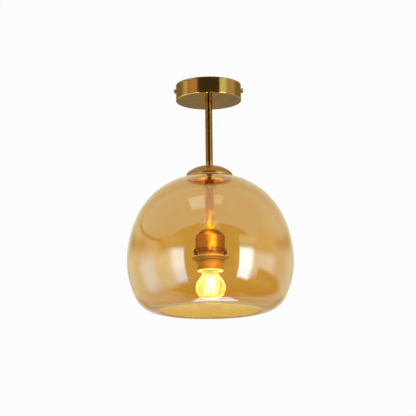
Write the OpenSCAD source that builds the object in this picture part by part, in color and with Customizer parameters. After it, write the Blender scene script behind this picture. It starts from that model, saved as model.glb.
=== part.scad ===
// LED ceiling light with a blown glass shade on a short stem.
// The ceiling is the plane z = 0 and the lamp hangs down from it, round the z axis.
// The side screws lie along the x axis.

/* [Canopy] */
// Outer diameter of the canopy
canopy_d = 100; // [90:1:130]
// Height of the canopy
canopy_h = 25; // [24:0.5:40]
// Sheet thickness of the canopy
canopy_wall = 1; // [0.8:0.1:1.5]
// Outside radius of the drawn edge under the canopy
canopy_edge_r = 3.3; // [2:0.1:8]
// Gap between the ceiling and the canopy's rim
ceiling_gap = 0.3; // [0.2:0.1:1]

/* [Ceiling bracket] */
// Sheet thickness of the bracket
bracket_t = 2; // [1.5:0.1:2.5]
// Width of the bracket strip
bracket_w = 20; // [16:0.5:26]
// Distance between the two ceiling slots
slot_pitch = 60; // [54:1:64]
// Length of each ceiling slot
slot_l = 14; // [8:0.5:16]
// Width of each ceiling slot
slot_w = 5; // [4.2:0.1:6]
// Diameter of the cable hole in the middle of the bracket
cable_hole_d = 10; // [8:0.5:14]
// Gap between the bracket's ears and the canopy's wall
ear_gap = 0.5; // [0.3:0.1:1.5]
// Length of the ears below the side screws
ear_below = 5; // [4:0.5:7]
// Width of the tab that carries the terminals
tab_w = 40; // [36:1:50]
// Length of the tab behind the strip
tab_l = 23; // [21:0.5:28]
// How far the tab is set down from the ceiling
tab_drop = 3; // [2.5:0.5:5]

/* [Side screws] */
// Distance of the side screws below the ceiling
side_screw_drop = 9.3; // [8:0.1:13]
// Thread diameter of the side screws
side_screw_d = 4; // [3:0.5:5]
// Diameter of a side screw's knob
knob_d = 7.6; // [6.5:0.1:10]
// Height of a side screw's knob
knob_h = 2.4; // [2:0.1:6]
// How far a side screw reaches past its ear
side_screw_reach = 2; // [1:0.5:5]
// Thickness of the washer under a knob
knob_washer_t = 0.6; // [0.4:0.1:1]

/* [Terminals] */
// Distance between the poles of the terminal block
pole_pitch = 10; // [9.6:0.1:11]
// Width of each pole's barrel
barrel_w = 7.4; // [7:0.1:8.4]
// Depth of the terminal block along its poles
block_l = 16; // [14:0.5:18]
// Height of the terminal block
block_h = 10; // [9:0.5:11]
// Bore of each pole
pole_bore = 3.6; // [3:0.1:4]
// Thread diameter of the terminal screws
pole_screw_d = 2.6; // [2:0.1:3]
// Thread diameter of the screw that holds the block
block_screw_d = 2.6; // [2:0.1:2.8]
// Thread diameter of the earth screw
earth_screw_d = 4; // [3:0.5:5]
// Outer diameter of the insulated leads
lead_d = 2; // [1.6:0.1:2.2]

/* [Stems and nipples] */
// Outer diameter of both stems
stem_d = 11; // [10:0.1:14]
// Length of the upper stem
upper_stem_l = 103.2; // [40:0.1:400]
// Length of the lower stem
lower_stem_l = 66.6; // [50:0.1:80]
// Thread diameter of the hollow nipples
nipple_d = 8; // [7.6:0.1:8.6]
// Bore of the hollow nipples
nipple_bore = 5.6; // [5.3:0.1:6]
// How far a nipple is screwed into a stem
nipple_grip = 10; // [6:0.5:15]
// Thickness of the toothed washer in the canopy
lock_washer_t = 0.8; // [0.5:0.1:1.5]
// Height of the hexagon nut in the canopy
lock_nut_h = 4; // [3:0.5:5]
// How far the upper nipple stands out of its nut
nipple_proud = 2.4; // [1:0.1:4]

/* [Cap] */
// Diameter of the domed cap on the glass
cap_d = 70.6; // [60:0.2:90]
// Height of the domed cap
cap_h = 17.4; // [15:0.1:22]
// Height of the straight skirt at the cap's rim
cap_skirt_h = 2.8; // [1:0.1:4]
// Radius between the cap's dome and its skirt
cap_edge_r = 6.7; // [4:0.1:9]
// Sheet thickness of the cap
cap_wall = 1; // [0.8:0.1:1.5]

/* [Glass shade] */
// Largest outer diameter of the glass
shade_d = 250.4; // [230:0.2:280]
// Height of the glass above its widest place
crown_h = 129.8; // [120:0.2:140]
// Height of the glass below its widest place
bowl_h = 76.4; // [70:0.2:90]
// Outer diameter of the open mouth
mouth_d = 148.8; // [130:0.2:160]
// Glass thickness
glass_t = 2.4; // [2:0.1:3]
// Radius of the shoulder above the widest place
shoulder_r = 156.5; // [150:0.5:175]
// Radius of the flank below the widest place
flank_r = 123.6; // [100:0.5:140]
// Radius of the curl that leads into the mouth
curl_r = 37.2; // [25:0.2:45]
// Radius of the flat land round the hole at the top
land_r = 12.5; // [12.2:0.1:14]
// Diameter of the hole at the top of the glass
shade_hole_d = 14; // [12.5:0.1:17]

/* [Clamp] */
// Thickness of the clamp washer above the glass
clamp_washer_t = 2; // [1.5:0.1:3]
// Diameter of the clamp washer above the glass
clamp_washer_d = 36; // [28:0.5:44]
// Thickness of each gasket
gasket_t = 1.5; // [1:0.1:2]
// Diameter of each gasket
gasket_d = 24; // [20:0.5:24]
// Outer diameter of the spacer inside the cap
spacer_d = 13; // [12:0.1:16]
// Diameter of the dished disc under the glass
disc_d = 47; // [36:0.5:60]
// Sheet thickness of the dished disc
disc_t = 1.2; // [0.8:0.1:2]
// How far the disc's rim is raised
disc_rise = 0.6; // [0:0.1:0.8]
// Diameter of the clamp nut's collar
clamp_collar_d = 13.6; // [12:0.1:18]
// Height of the clamp nut
clamp_nut_h = 12; // [8:0.1:16]
// Diameter of the clamp nut's flange
clamp_flange_d = 20.6; // [19:0.1:28]
// Height of the clamp nut's flange
clamp_flange_h = 3; // [2:0.1:5]

/* [Socket cup] */
// Diameter of the cup's flat top
cup_top_d = 25; // [24:0.2:30]
// Diameter of the cup's body
cup_d = 44; // [43.6:0.1:48]
// Height of the cup's bevelled shoulder
cup_bevel_h = 8.4; // [7:0.1:10]
// Height of the cup down to its band
cup_body_h = 28.6; // [27:0.2:32]
// Diameter of the band at the cup's mouth
band_d = 50; // [48.6:0.1:56]
// Height of the band
band_h = 6.6; // [5:0.1:8]
// Sheet thickness of the cup
cup_wall = 1; // [0.8:0.1:1.2]
// Number of vent holes in the band
vent_count = 6; // [4:1:10]
// Diameter of the vent holes
vent_d = 2.6; // [1.6:0.1:3.4]

/* [Lampholder] */
// Diameter of the lampholder's top cover
holder_d = 40; // [39:0.1:40.6]
// Height of the lampholder's top cover
cover_h = 33; // [31:0.2:36]
// Wall of the top cover
cover_wall = 2; // [1.8:0.1:2.2]
// Height of the skirt below the top cover
skirt_h = 27.4; // [26:0.2:30]
// Diameter of the skirt's threaded zone
skirt_thread_d = 40.6; // [40:0.1:42]
// Height of the skirt's threaded zone
skirt_thread_h = 15; // [13:0.2:17]
// Diameter of the skirt's plain nose
nose_d = 39.2; // [37:0.1:39.6]
// Diameter of the ceramic core
core_d = 33.6; // [33:0.1:34.2]
// Bore of the screw shell
shell_bore = 27; // [26.8:0.1:27.4]
// Sheet thickness of the screw shell
shell_t = 0.45; // [0.3:0.05:0.6]
// Length of the screw shell
shell_l = 25; // [22:0.5:27]
// Depth of the socket from the skirt's mouth to the bulb's tip
socket_depth = 27.2; // [26.5:0.1:28]
// Diameter of the shade ring's flange
ring_d = 57; // [50:0.2:64]
// Thickness of the shade ring's flange
ring_t = 1.8; // [1.2:0.1:2.5]
// Diameter of the shade ring's collar
ring_collar_d = 46; // [44:0.2:48]
// Height of the shade ring
ring_h = 5; // [4:0.1:7]
// Distance of the shade ring below the top cover
ring_drop = 7; // [3:0.1:8]

/* [Bulb] */
// Diameter of the bulb's screw cap
bulb_cap_d = 26; // [25.6:0.1:26.2]
// Height of the bulb from its tip to the end of its screw cap
bulb_cap_h = 26.8; // [26:0.1:27.5]
// Sheet thickness of the screw cap
bulb_cap_t = 0.4; // [0.3:0.1:0.6]
// Diameter of the glass globe
globe_d = 45; // [40:0.5:60]
// Length of the whole bulb
bulb_l = 76.2; // [72:0.2:95]
// Diameter of the globe's neck
bulb_neck_d = 24.6; // [24:0.1:24.8]
// Radius between the neck and the globe
bulb_neck_r = 10; // [8:0.5:14]
// Thickness of the bulb's glass
bulb_glass_t = 0.8; // [0.6:0.1:1]
// Number of filaments
filament_count = 4; // [2:1:6]
// Diameter of a filament
filament_d = 2.2; // [1.2:0.1:2.6]
// Length of a filament
filament_l = 28; // [20:0.5:30]
// Distance of the filaments' upper ends from the middle
filament_top_r = 3.6; // [3:0.1:4.5]
// Distance of the filaments' lower ends from the middle
filament_foot_r = 8; // [6:0.1:9]

/* [Hidden] */
$fn = 96;

brass = "goldenrod";
steel = "silver";
amber = [0.85, 0.6, 0.28, 0.5];
ivory = "ivory";

// How far a cutting solid runs past the face that it cuts
cut = 1;
// Radial clearance of a thread in its hole
thread_fit = 0.05;
// Clearance of a screw or a nipple in a plain hole, on the diameter
hole_fit = 0.5;
// Gap between curved faces that rest on each other
seat_gap = 0.2;
// Gap between the bulb's tip and the contact tongue, and under the knob washers
contact_gap = 0.3;
// Steps in a rounded corner
corner_steps = 5;

nipple_hole = nipple_d + hole_fit;
nipple_thread = nipple_d + 2 * thread_fit;

// Levels, from the ceiling down
canopy_r = canopy_d / 2;
canopy_floor = -ceiling_gap - canopy_h;
floor_top = canopy_floor + canopy_wall;
nut_top = floor_top + lock_washer_t + lock_nut_h;
top_nipple_top = nut_top + nipple_proud;
cap_top = canopy_floor - upper_stem_l;
cap_rim = cap_top - cap_h;

// The glass outline: land, crown, shoulder, flank and curl are arcs that run into each other
shade_r = shade_d / 2;
shoulder_c = [shade_r - shoulder_r, 0];
crown_x = shoulder_c.x - land_r;
crown_r = (shoulder_r * shoulder_r - crown_x * crown_x - crown_h * crown_h) / (2 * (shoulder_r - crown_h));
crown_c = [land_r, crown_h - crown_r];
shoulder_a = heading(crown_c - shoulder_c);
flank_c = [shade_r - flank_r, 0];
curl_y = bowl_h - curl_r;
curl_c = [flank_c.x + sqrt(pow(flank_r - curl_r, 2) - curl_y * curl_y), -curl_y];
flank_a = heading(curl_c - flank_c);
lip_r = curl_r - glass_t / 2;
mouth_a = -acos((mouth_d / 2 + glass_t / 2 - curl_c.x) / lip_r);
lip_c = curl_c + lip_r * [cos(mouth_a), sin(mouth_a)];
shade_top = cap_rim - seat_gap + crown_r - sqrt(crown_r * crown_r - pow(cap_d / 2 - land_r, 2));
belly_z = shade_top - crown_h;

// Levels of the clamp stack, from the glass down and up
land_under = shade_top - glass_t;
washer_top = shade_top + gasket_t + clamp_washer_t;
disc_top = land_under - gasket_t;
clamp_nut_top = disc_top - disc_t;
lower_stem_top = clamp_nut_top - clamp_nut_h;
cup_top = lower_stem_top - lower_stem_l;

// Levels of the lampholder
holder_top = cup_top - cup_wall;
cover_end = holder_top - cover_h;
skirt_end = cover_end - skirt_h;
tip_top = skirt_end + socket_depth;
tongue_room = 3.8;
wire_room = 6;
nose_lip = 2.4;
cover_boss_h = 6.5;
boss_end = holder_top - cover_boss_h;
shell_top = tip_top + tongue_room;
core_top = boss_end - wire_room;
core_end = skirt_end + nose_lip;
ring_top = cover_end - ring_drop;

// Levels of the bulb
tip_t = 1.2;
insulator_h = 2.8;
bulb_cap_end = tip_top - bulb_cap_h;
bulb_cap_top = tip_top - tip_t - insulator_h;
globe_r = globe_d / 2;
globe_z = tip_top - bulb_l + globe_r;
neck_r = bulb_neck_d / 2;
neck_blend_x = neck_r + bulb_neck_r;
neck_blend_y = sqrt(pow(globe_r + bulb_neck_r, 2) - neck_blend_x * neck_blend_x);
neck_top = bulb_cap_end + 4;
flare_top = bulb_cap_end + 3.4;
mount_end = bulb_cap_end - 11;
filament_top = mount_end + 0.5;
filament_slope = asin((filament_foot_r - filament_top_r) / filament_l);
filament_foot = filament_top - filament_l * cos(filament_slope);

// Places in the canopy
ear_x = sqrt(pow(canopy_r - canopy_wall, 2) - pow(bracket_w / 2, 2)) - ear_gap;
knob_x = canopy_r + contact_gap + knob_washer_t;
tab_y = bracket_w / 2;
tab_end = tab_y + tab_l;
tab_under = -tab_drop - bracket_t;
block_x = -5;
block_y = tab_end - 2 - block_l / 2;
pole_z = tab_under - block_h / 2 + 0.6;
earth_x = 14.5;
earth_y = block_y;
earth_tag_t = 0.8;
earth_washer_t = 0.7;
tag_barrel_d = lead_d + 1.2;
tag_barrel_z = tab_under - tag_barrel_d / 2;
screw_hole = side_screw_d + 2 * thread_fit;

// Routes of the leads: from a pole to the nipple's mouth, down the stems and out to a holder screw
lead_x = lead_d / 2 + 0.1;
holder_screw_x = 9.5;
holder_head_d = 5.4;
block_front = block_y - block_l / 2;
live_pole = block_x - pole_pitch;
earth_pole = block_x + pole_pitch;
lead_mouth = top_nipple_top + 1.2;
live_route = concat(
    [
        [live_pole, block_front + 3, pole_z], [live_pole, block_front - 1, pole_z],
        [live_pole + 3, 10.5, pole_z - 0.4], [-6.6, 4.6, pole_z - 1.6], [-2.6, 0.8, lead_mouth + 2]
    ],
    stem_route(-1)
);
neutral_route = concat(
    [
        [block_x, block_front + 3, pole_z], [block_x, block_front - 1, pole_z],
        [block_x + 1.2, 10, pole_z - 0.4], [-0.4, 4.6, pole_z - 1.6], [1.2, 0.9, lead_mouth + 2]
    ],
    stem_route(1)
);
earth_route = [
    [earth_pole, block_front + 3, pole_z], [earth_pole, block_front - 1, pole_z],
    [earth_pole + 1, 11, pole_z - 0.4], [9, 8.4, pole_z - 0.4], [12.4, 8.6, pole_z + 0.4],
    [earth_x, 11.4, pole_z + 2], [earth_x, earth_y - 9, tag_barrel_z], [earth_x, earth_y - 5, tag_barrel_z]
];
function stem_route(side) = [
    [side * lead_x, 0, lead_mouth], [side * lead_x, 0, cap_top], [side * lead_x, 0, lower_stem_top],
    [side * lead_x, 0, boss_end], [side * lead_x, 0, boss_end - 1.2], [side * 1.9, 0, boss_end - 2.6],
    [side * 3.6, 0, core_top + 2.2], [side * (holder_screw_x - holder_head_d / 2 - 0.1), 0, core_top + 2]
];

// Outlines and paths
function heading(v) = atan2(v.y, v.x);
function unit(v) = v / norm(v);
function arc(centre, r, from, to, steps) =
    [for (i = [0:steps]) let (a = from + (to - from) * i / steps) centre + r * [cos(a), sin(a)]];
function turn(from, to) = let (d = to - from) d > 180 ? d - 360 : d < -180 ? d + 360 : d;
function corner(before, at, after, r) =
    let (
        u = unit(before - at),
        v = unit(after - at),
        half = acos(u * v) / 2,
        centre = at + unit(u + v) * r / sin(half),
        from = heading(at + u * r / tan(half) - centre),
        to = heading(at + v * r / tan(half) - centre)
    )
    arc(centre, r, from, from + turn(from, to), corner_steps);
// A closed or open outline whose corners [x, y, r] are rounded by their own radius
function rounded(p) =
    let (n = len(p), q = [for (c = p) [c.x, c.y]])
    [for (i = [0:n - 1]) each (
        p[i].z == 0 ? [q[i]] : corner(q[(i + n - 1) % n], q[i], q[(i + 1) % n], p[i].z)
    )];
function offset_path(p, t) =
    let (n = [for (i = [0:len(p) - 2]) let (d = unit(p[i + 1] - p[i])) [-d.y, d.x]])
    [for (i = [0:len(p) - 1])
        let (a = n[max(i - 1, 0)], b = n[min(i, len(n) - 1)], m = unit(a + b)) p[i] + m * t / (m * a)];
function reversed(p) = [for (i = [len(p) - 1:-1:0]) p[i]];
// The outline of a sheet whose outer face follows p and whose thickness t lies to the right of it
function sheet(p, t) = concat(p, reversed(offset_path(p, -t)));

// A straight tube from a level down to another
module tube(top, bottom, outer_d, bore_d) {
    translate([0, 0, bottom])
        difference() {
            cylinder(h = top - bottom, d = outer_d);
            translate([0, 0, -cut])
                cylinder(h = top - bottom + 2 * cut, d = bore_d);
        }
}

// A rod between two points
module rod(a, b, d) {
    run = b - a;
    translate(a)
        rotate([0, acos(run.z / norm(run)), atan2(run.y, run.x)])
            cylinder(h = norm(run), d = d);
}

// A toothed lock washer lying on z = 0
module toothed_washer(d, bore, t, teeth) {
    outline = [for (i = [0:2 * teeth - 1])
        let (a = i * 180 / teeth, r = i % 2 == 0 ? d / 2 : d / 2 - 1.2) r * [cos(a), sin(a)]];
    difference() {
        linear_extrude(t)
            polygon(outline);
        translate([0, 0, -cut])
            cylinder(h = t + 2 * cut, d = bore);
    }
}

// A pan head screw along z, with its head above z = 0
module pan_screw(d, head_d, head_h, l) {
    rotate_extrude()
        polygon(rounded([
            [0, -l, 0], [d / 2, -l, 0], [d / 2, 0, 0], [head_d / 2, 0, 0],
            [head_d / 2, head_h, head_h * 0.45], [0, head_h, 0]
        ]));
}

// A flexible lead swept along a route, with a ring of sides at each point
module lead(route) {
    sides = 8;
    count = len(route);
    side_axis = [0.2, 1, 0.35];
    rings = [for (i = [0:count - 1])
        let (
            run = unit(route[min(i + 1, count - 1)] - route[max(i - 1, 0)]),
            u = unit(cross(run, side_axis)),
            v = cross(run, u)
        )
        each [for (s = [0:sides - 1])
            route[i] + lead_d / 2 * (cos(s * 360 / sides) * u + sin(s * 360 / sides) * v)]];
    walls = [for (i = [0:count - 2], s = [0:sides - 1])
        let (a = i * sides + s, b = i * sides + (s + 1) % sides)
        each [[a, b, b + sides], [a, b + sides, a + sides]]];
    ends = [for (s = [1:sides - 2])
        each [[0, s + 1, s], [(count - 1) * sides, (count - 1) * sides + s, (count - 1) * sides + s + 1]]];
    polyhedron(points = rings, faces = concat(walls, ends));
}

// Bracket: a strip with two bent ears and a tab set down behind it
module ceiling_bracket() {
    strip = rounded([
        [-ear_x, -side_screw_drop - ear_below, 0], [-ear_x, 0, bracket_t + 1],
        [ear_x, 0, bracket_t + 1], [ear_x, -side_screw_drop - ear_below, 0]
    ]);
    tab = rounded([
        [tab_y - cut, 0, 0], [tab_y + 1, 0, 0], [tab_y + 1 + tab_drop, -tab_drop, 0], [tab_end, -tab_drop, 0]
    ]);
    color(steel)
        difference() {
            union() {
                rotate([90, 0, 0])
                    linear_extrude(bracket_w, center = true)
                        polygon(sheet(strip, bracket_t));
                rotate([90, 0, 90])
                    linear_extrude(tab_w, center = true)
                        polygon(sheet(tab, bracket_t));
            }
            translate([0, 0, -bracket_t - cut])
                cylinder(h = bracket_t + 2 * cut, d = cable_hole_d);
            for (side = [-1, 1])
                translate([side * slot_pitch / 2, 0, -bracket_t - cut])
                    slot(slot_l, slot_w, bracket_t + 2 * cut);
            for (side = [-1, 1])
                translate([side * (ear_x - bracket_t - cut), 0, -side_screw_drop])
                    rotate([0, side * 90, 0])
                        cylinder(h = bracket_t + 2 * cut, d = screw_hole);
            translate([earth_x, earth_y, tab_under - cut])
                cylinder(h = bracket_t + 2 * cut, d = earth_screw_d + 2 * thread_fit);
            translate([block_x + pole_pitch / 2, block_y, tab_under - cut])
                cylinder(h = bracket_t + 2 * cut, d = block_screw_d + 2 * thread_fit);
        }
}

module slot(l, w, h) {
    for (side = [-1, 1])
        translate([side * (l - w) / 2, 0, 0])
            cylinder(h = h, d = w);
    translate([-(l - w) / 2, -w / 2, 0])
        cube([l - w, w, h]);
}

module earth_screw() {
    color(brass)
        translate([earth_x, earth_y, tab_under - earth_tag_t - earth_washer_t])
            mirror([0, 0, 1])
                pan_screw(earth_screw_d, 8, 2.6, bracket_t + earth_tag_t + earth_washer_t + 1.5);
}

module earth_washer() {
    color(steel)
        translate([earth_x, earth_y, tab_under - earth_tag_t - earth_washer_t])
            toothed_washer(8.4, earth_screw_d + hole_fit, earth_washer_t, 12);
}

// Ring terminal with the crimped barrel that takes the earth lead
module earth_tag() {
    color(steel)
        difference() {
            union() {
                translate([earth_x, earth_y, tab_under - earth_tag_t])
                    cylinder(h = earth_tag_t, d = 8);
                translate([earth_x, earth_y - 3.6, tag_barrel_z])
                    rotate([90, 0, 0])
                        cylinder(h = 5, d = tag_barrel_d);
            }
            translate([earth_x, earth_y, tab_under - tag_barrel_d - cut])
                cylinder(h = tag_barrel_d + 2 * cut, d = earth_screw_d + hole_fit);
            translate([earth_x, earth_y - 4.6, tag_barrel_z])
                rotate([90, 0, 0])
                    cylinder(h = 5, d = lead_d + 0.1);
            translate([earth_x, earth_y, tab_under - earth_tag_t - tag_barrel_d])
                cylinder(h = tag_barrel_d, d = 8.8);
        }
}

module terminal_block() {
    web_z = tab_under - block_h / 2;
    color(ivory)
        difference() {
            union() {
                for (pole = [-1:1])
                    translate([block_x + pole * pole_pitch, block_y, tab_under - block_h])
                        terminal_barrel();
                translate([block_x - pole_pitch, block_y - block_l / 2 + 3, web_z])
                    cube([2 * pole_pitch, block_l - 6, block_h / 2]);
            }
            for (pole = [-1:1])
                translate([block_x + pole * pole_pitch, block_y, tab_under - block_h])
                    terminal_hollows();
            for (side = [-1, 1])
                translate([block_x + side * pole_pitch / 2, block_y, web_z - cut]) {
                    cylinder(h = block_h, d = block_screw_d + 0.3);
                    translate([0, 0, -block_h / 2])
                        cylinder(h = block_h / 2 + cut, d = block_screw_d * 1.8 + 0.4);
                }
        }
}

// One pole of the block: a rounded barrel with two screw chimneys on its underside
module terminal_barrel() {
    chimney_h = 2;
    translate([-barrel_w / 2, -block_l / 2, chimney_h])
        cube([barrel_w, block_l, block_h - chimney_h]);
    for (side = [-1, 1])
        translate([0, side * block_l / 4, 0])
            cylinder(h = chimney_h + cut, d = barrel_w - 1);
}

module terminal_hollows() {
    translate([0, 0, block_h / 2 + 0.6])
        rotate([90, 0, 0])
            cylinder(h = block_l + 2 * cut, d = pole_bore + 0.8, center = true);
    for (side = [-1, 1])
        translate([0, side * block_l / 4, -cut])
            cylinder(h = block_h / 2 + cut, d = pole_screw_d + 0.8);
}

// The brass tubes that clamp the wire ends, one in each pole
module terminal_clamps() {
    color(brass)
        for (pole = [-1:1])
            translate([block_x + pole * pole_pitch, block_y, pole_z])
                difference() {
                    rotate([90, 0, 0])
                        cylinder(h = block_l - 3, d = pole_bore + 0.7, center = true);
                    rotate([90, 0, 0])
                        cylinder(h = block_l, d = lead_d + 0.4, center = true);
                    for (side = [-1, 1])
                        translate([0, side * block_l / 4, -block_h / 2])
                            cylinder(h = block_h / 2, d = pole_screw_d + 2 * thread_fit);
                }
}

module terminal_screws() {
    color(steel)
        for (pole = [-1:1], side = [-1, 1])
            translate([block_x + pole * pole_pitch, block_y + side * block_l / 4, tab_under - block_h + 1])
                cylinder(h = block_h / 2 - 1.7, d = pole_screw_d);
}

module block_screw() {
    color(steel)
        translate([block_x + pole_pitch / 2, block_y, tab_under - block_h / 2])
            mirror([0, 0, 1])
                pan_screw(block_screw_d, block_screw_d * 1.8, 1.8, block_h / 2 + bracket_t + 1.5);
}

// Drawn canopy with a turned edge, a centre hole and a hole for each side screw
module canopy() {
    outline = rounded([
        [nipple_hole / 2, canopy_floor, 0], [canopy_r, canopy_floor, canopy_edge_r], [canopy_r, -ceiling_gap, 0]
    ]);
    color(brass)
        difference() {
            rotate_extrude()
                polygon(concat(outline, reversed(offset_path(outline, canopy_wall))));
            for (side = [-1, 1])
                translate([side * (canopy_r - canopy_wall - cut), 0, -side_screw_drop])
                    rotate([0, side * 90, 0])
                        cylinder(h = canopy_wall + 2 * cut, d = side_screw_d + hole_fit);
        }
}

// Side screw with a round knob, pointing out along x on its side
module side_screw(side) {
    reach = knob_x - ear_x + bracket_t + side_screw_reach;
    color(brass)
        translate([side * knob_x, 0, -side_screw_drop])
            rotate([0, side * 90, 0])
                rotate_extrude()
                    polygon(rounded([
                        [0, -reach, 0], [side_screw_d / 2, -reach, 0.6], [side_screw_d / 2, 0, 0],
                        [knob_d / 2, 0, 0.4], [knob_d / 2, knob_h, 0.9], [0, knob_h, 0]
                    ]));
}

module knob_washer(side) {
    color(brass)
        translate([side * (knob_x - knob_washer_t), 0, -side_screw_drop])
            rotate([0, side * 90, 0])
                tube(knob_washer_t, 0, knob_d + 0.4, side_screw_d + 2 * thread_fit);
}

module side_screw_left() { side_screw(-1); }
module side_screw_right() { side_screw(1); }
module knob_washer_left() { knob_washer(-1); }
module knob_washer_right() { knob_washer(1); }

module canopy_washer() {
    color(steel)
        translate([0, 0, floor_top])
            toothed_washer(nipple_d + 7, nipple_hole, lock_washer_t, 16);
}

module canopy_nut() {
    color(brass)
        translate([0, 0, floor_top + lock_washer_t])
            difference() {
                cylinder(h = lock_nut_h, d = nipple_d + 7, $fn = 6);
                translate([0, 0, -cut])
                    cylinder(h = lock_nut_h + 2 * cut, d = nipple_thread);
            }
}

module top_nipple() {
    color(steel)
        tube(top_nipple_top, canopy_floor - nipple_grip, nipple_d, nipple_bore);
}

// Flanged bush that keeps the leads off the nipple's edge
module nipple_bush() {
    color(ivory)
        union() {
            tube(top_nipple_top + 0.8, top_nipple_top, nipple_d, nipple_bore - 0.9);
            tube(top_nipple_top + 0.1, top_nipple_top - 5, nipple_bore - 2 * thread_fit, nipple_bore - 0.9);
        }
}

module upper_stem() {
    color(brass)
        tube(canopy_floor, cap_top, stem_d, nipple_thread);
}

module live_lead() { color("saddlebrown") lead(live_route); }
module neutral_lead() { color("steelblue") lead(neutral_route); }
module earth_lead() { color("yellowgreen") lead(earth_route); }

// Spun cap: a shallow dome with a flat seat for the stem, run into a short skirt
module cap_dome() {
    seat_r = max(stem_d, spacer_d) / 2 + 0.5;
    edge_c = [cap_d / 2 - cap_edge_r, cap_rim + cap_skirt_h];
    rise = cap_top - edge_c.y;
    reach = edge_c.x - seat_r;
    dome_r = (reach * reach + rise * rise - cap_edge_r * cap_edge_r) / (2 * (rise - cap_edge_r));
    dome_c = [seat_r, cap_top - dome_r];
    edge_a = heading(edge_c - dome_c);
    outline = concat(
        [[nipple_hole / 2, cap_top]],
        arc(dome_c, dome_r, 90, edge_a, 12),
        arc(edge_c, cap_edge_r, edge_a - 6, 0, 10),
        [[cap_d / 2, cap_rim]]
    );
    color(brass)
        rotate_extrude()
            polygon(sheet(outline, cap_wall));
}

module cap_spacer() {
    color(steel)
        tube(cap_top - cap_wall, washer_top, spacer_d, nipple_hole);
}

module clamp_washer() {
    color(steel)
        tube(washer_top, shade_top + gasket_t, clamp_washer_d, nipple_hole);
}

// Soft washer with a sleeve that centres the glass on the nipple
module upper_gasket() {
    sleeve_r = (shade_hole_d - hole_fit) / 2;
    color("dimgray")
        rotate_extrude()
            polygon([
                [nipple_hole / 2, shade_top + gasket_t], [gasket_d / 2, shade_top + gasket_t],
                [gasket_d / 2, shade_top],
                [sleeve_r, shade_top], [sleeve_r, shade_top - glass_t + 0.4], [nipple_hole / 2, shade_top - glass_t + 0.4]
            ]);
}

// Blown glass shade: four arcs that run into each other, one even wall and a fire-polished lip
module glass_shade() {
    outer = concat(
        [[shade_hole_d / 2, crown_h]],
        arc(crown_c, crown_r, 90, shoulder_a, 20),
        arc(shoulder_c, shoulder_r, shoulder_a * 9 / 10, 0, 9),
        arc(flank_c, flank_r, flank_a / 8, flank_a, 7),
        arc(curl_c, curl_r, flank_a + (mouth_a - flank_a) / 14, mouth_a, 13)
    );
    lip = arc(lip_c, glass_t / 2, mouth_a - 30, mouth_a - 150, 4);
    color(amber)
        translate([0, 0, belly_z])
            rotate_extrude()
                polygon(concat(outer, lip, reversed(offset_path(outer, -glass_t))));
}

module lower_gasket() {
    color("dimgray")
        tube(land_under, disc_top, gasket_d, nipple_hole);
}

// Dished disc: flat in the middle, raised towards the glass at its rim
module clamp_disc() {
    outline = rounded([
        [nipple_hole / 2, disc_top, 0], [land_r + 2, disc_top, 4], [disc_d / 2, disc_top + disc_rise, 0]
    ]);
    color(brass)
        rotate_extrude()
            polygon(sheet(outline, disc_t));
}

// Flanged clamp nut: a plain collar with a wider flange that is turned by hand
module clamp_nut() {
    end = clamp_nut_top - clamp_nut_h;
    bore_r = nipple_thread / 2;
    collar_r = clamp_collar_d / 2;
    flange_r = clamp_flange_d / 2;
    color(brass)
        rotate_extrude()
            polygon(rounded([
                [bore_r, clamp_nut_top, 0], [collar_r, clamp_nut_top, 0.4],
                [collar_r, end + clamp_flange_h, 0.8], [flange_r, end + clamp_flange_h, 0.6],
                [flange_r, end, 0.6], [bore_r, end, 0]
            ]));
}

module middle_nipple() {
    color(steel)
        tube(cap_top + nipple_grip, lower_stem_top - nipple_grip, nipple_d, nipple_bore);
}

module lower_stem() {
    color(brass)
        tube(lower_stem_top, cup_top, stem_d, nipple_thread);
}

module bottom_nipple() {
    color(steel)
        tube(cup_top + nipple_grip, boss_end, nipple_d, nipple_bore);
}

// Spun socket cup: flat top, bevelled shoulder, straight body and a wider vented band
module socket_cup() {
    band_top = cup_top - cup_body_h;
    outline = rounded([
        [nipple_hole / 2, cup_top, 0], [cup_top_d / 2, cup_top, 1.6],
        [cup_d / 2, cup_top - cup_bevel_h, 1.6], [cup_d / 2, band_top, 0.6],
        [band_d / 2, band_top, 1.3], [band_d / 2, band_top - band_h, 0]
    ]);
    color(brass)
        difference() {
            rotate_extrude()
                polygon(sheet(outline, cup_wall));
            for (i = [0:vent_count - 1])
                translate([0, 0, band_top - band_h / 2])
                    rotate([0, 90, i * 360 / vent_count - 83])
                        translate([0, 0, cup_d / 2])
                            cylinder(h = band_d / 2, d = vent_d);
        }
}

// Top cover of the lampholder, with a threaded boss round the nipple
module holder_cover() {
    cone_r = cup_top_d / 2 - 2;
    holder_r = holder_d / 2;
    bevel = cup_bevel_h + 1;
    inner_r = holder_r - cover_wall;
    color("peru")
        rotate_extrude()
            polygon(rounded([
                [nipple_thread / 2, holder_top, 0], [cone_r, holder_top, 1],
                [holder_r, holder_top - bevel, 2], [holder_r, cover_end, 0],
                [inner_r, cover_end, 0], [inner_r, holder_top - bevel - cover_wall / 2, 2],
                [cone_r, holder_top - cover_wall - 1, 0], [8, holder_top - cover_wall - 1, 0],
                [8, boss_end, 0.6], [nipple_thread / 2, boss_end, 0]
            ]));
}

// Ceramic core: solid above, hollow below for the screw shell
module holder_core() {
    core_r = core_d / 2;
    hollow_r = shell_bore / 2 + shell_t + thread_fit;
    color("whitesmoke")
        difference() {
            rotate_extrude()
                polygon(rounded([
                    [0, core_top, 0], [core_r, core_top, 1], [core_r, core_end, 0.8],
                    [hollow_r, core_end, 0.8], [hollow_r, shell_top, 0], [0, shell_top, 0]
                ]));
            for (side = [-1, 1])
                translate([side * holder_screw_x, 0, core_top - 8])
                    cylinder(h = 8 + cut, d = 3 + 2 * thread_fit);
        }
}

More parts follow.
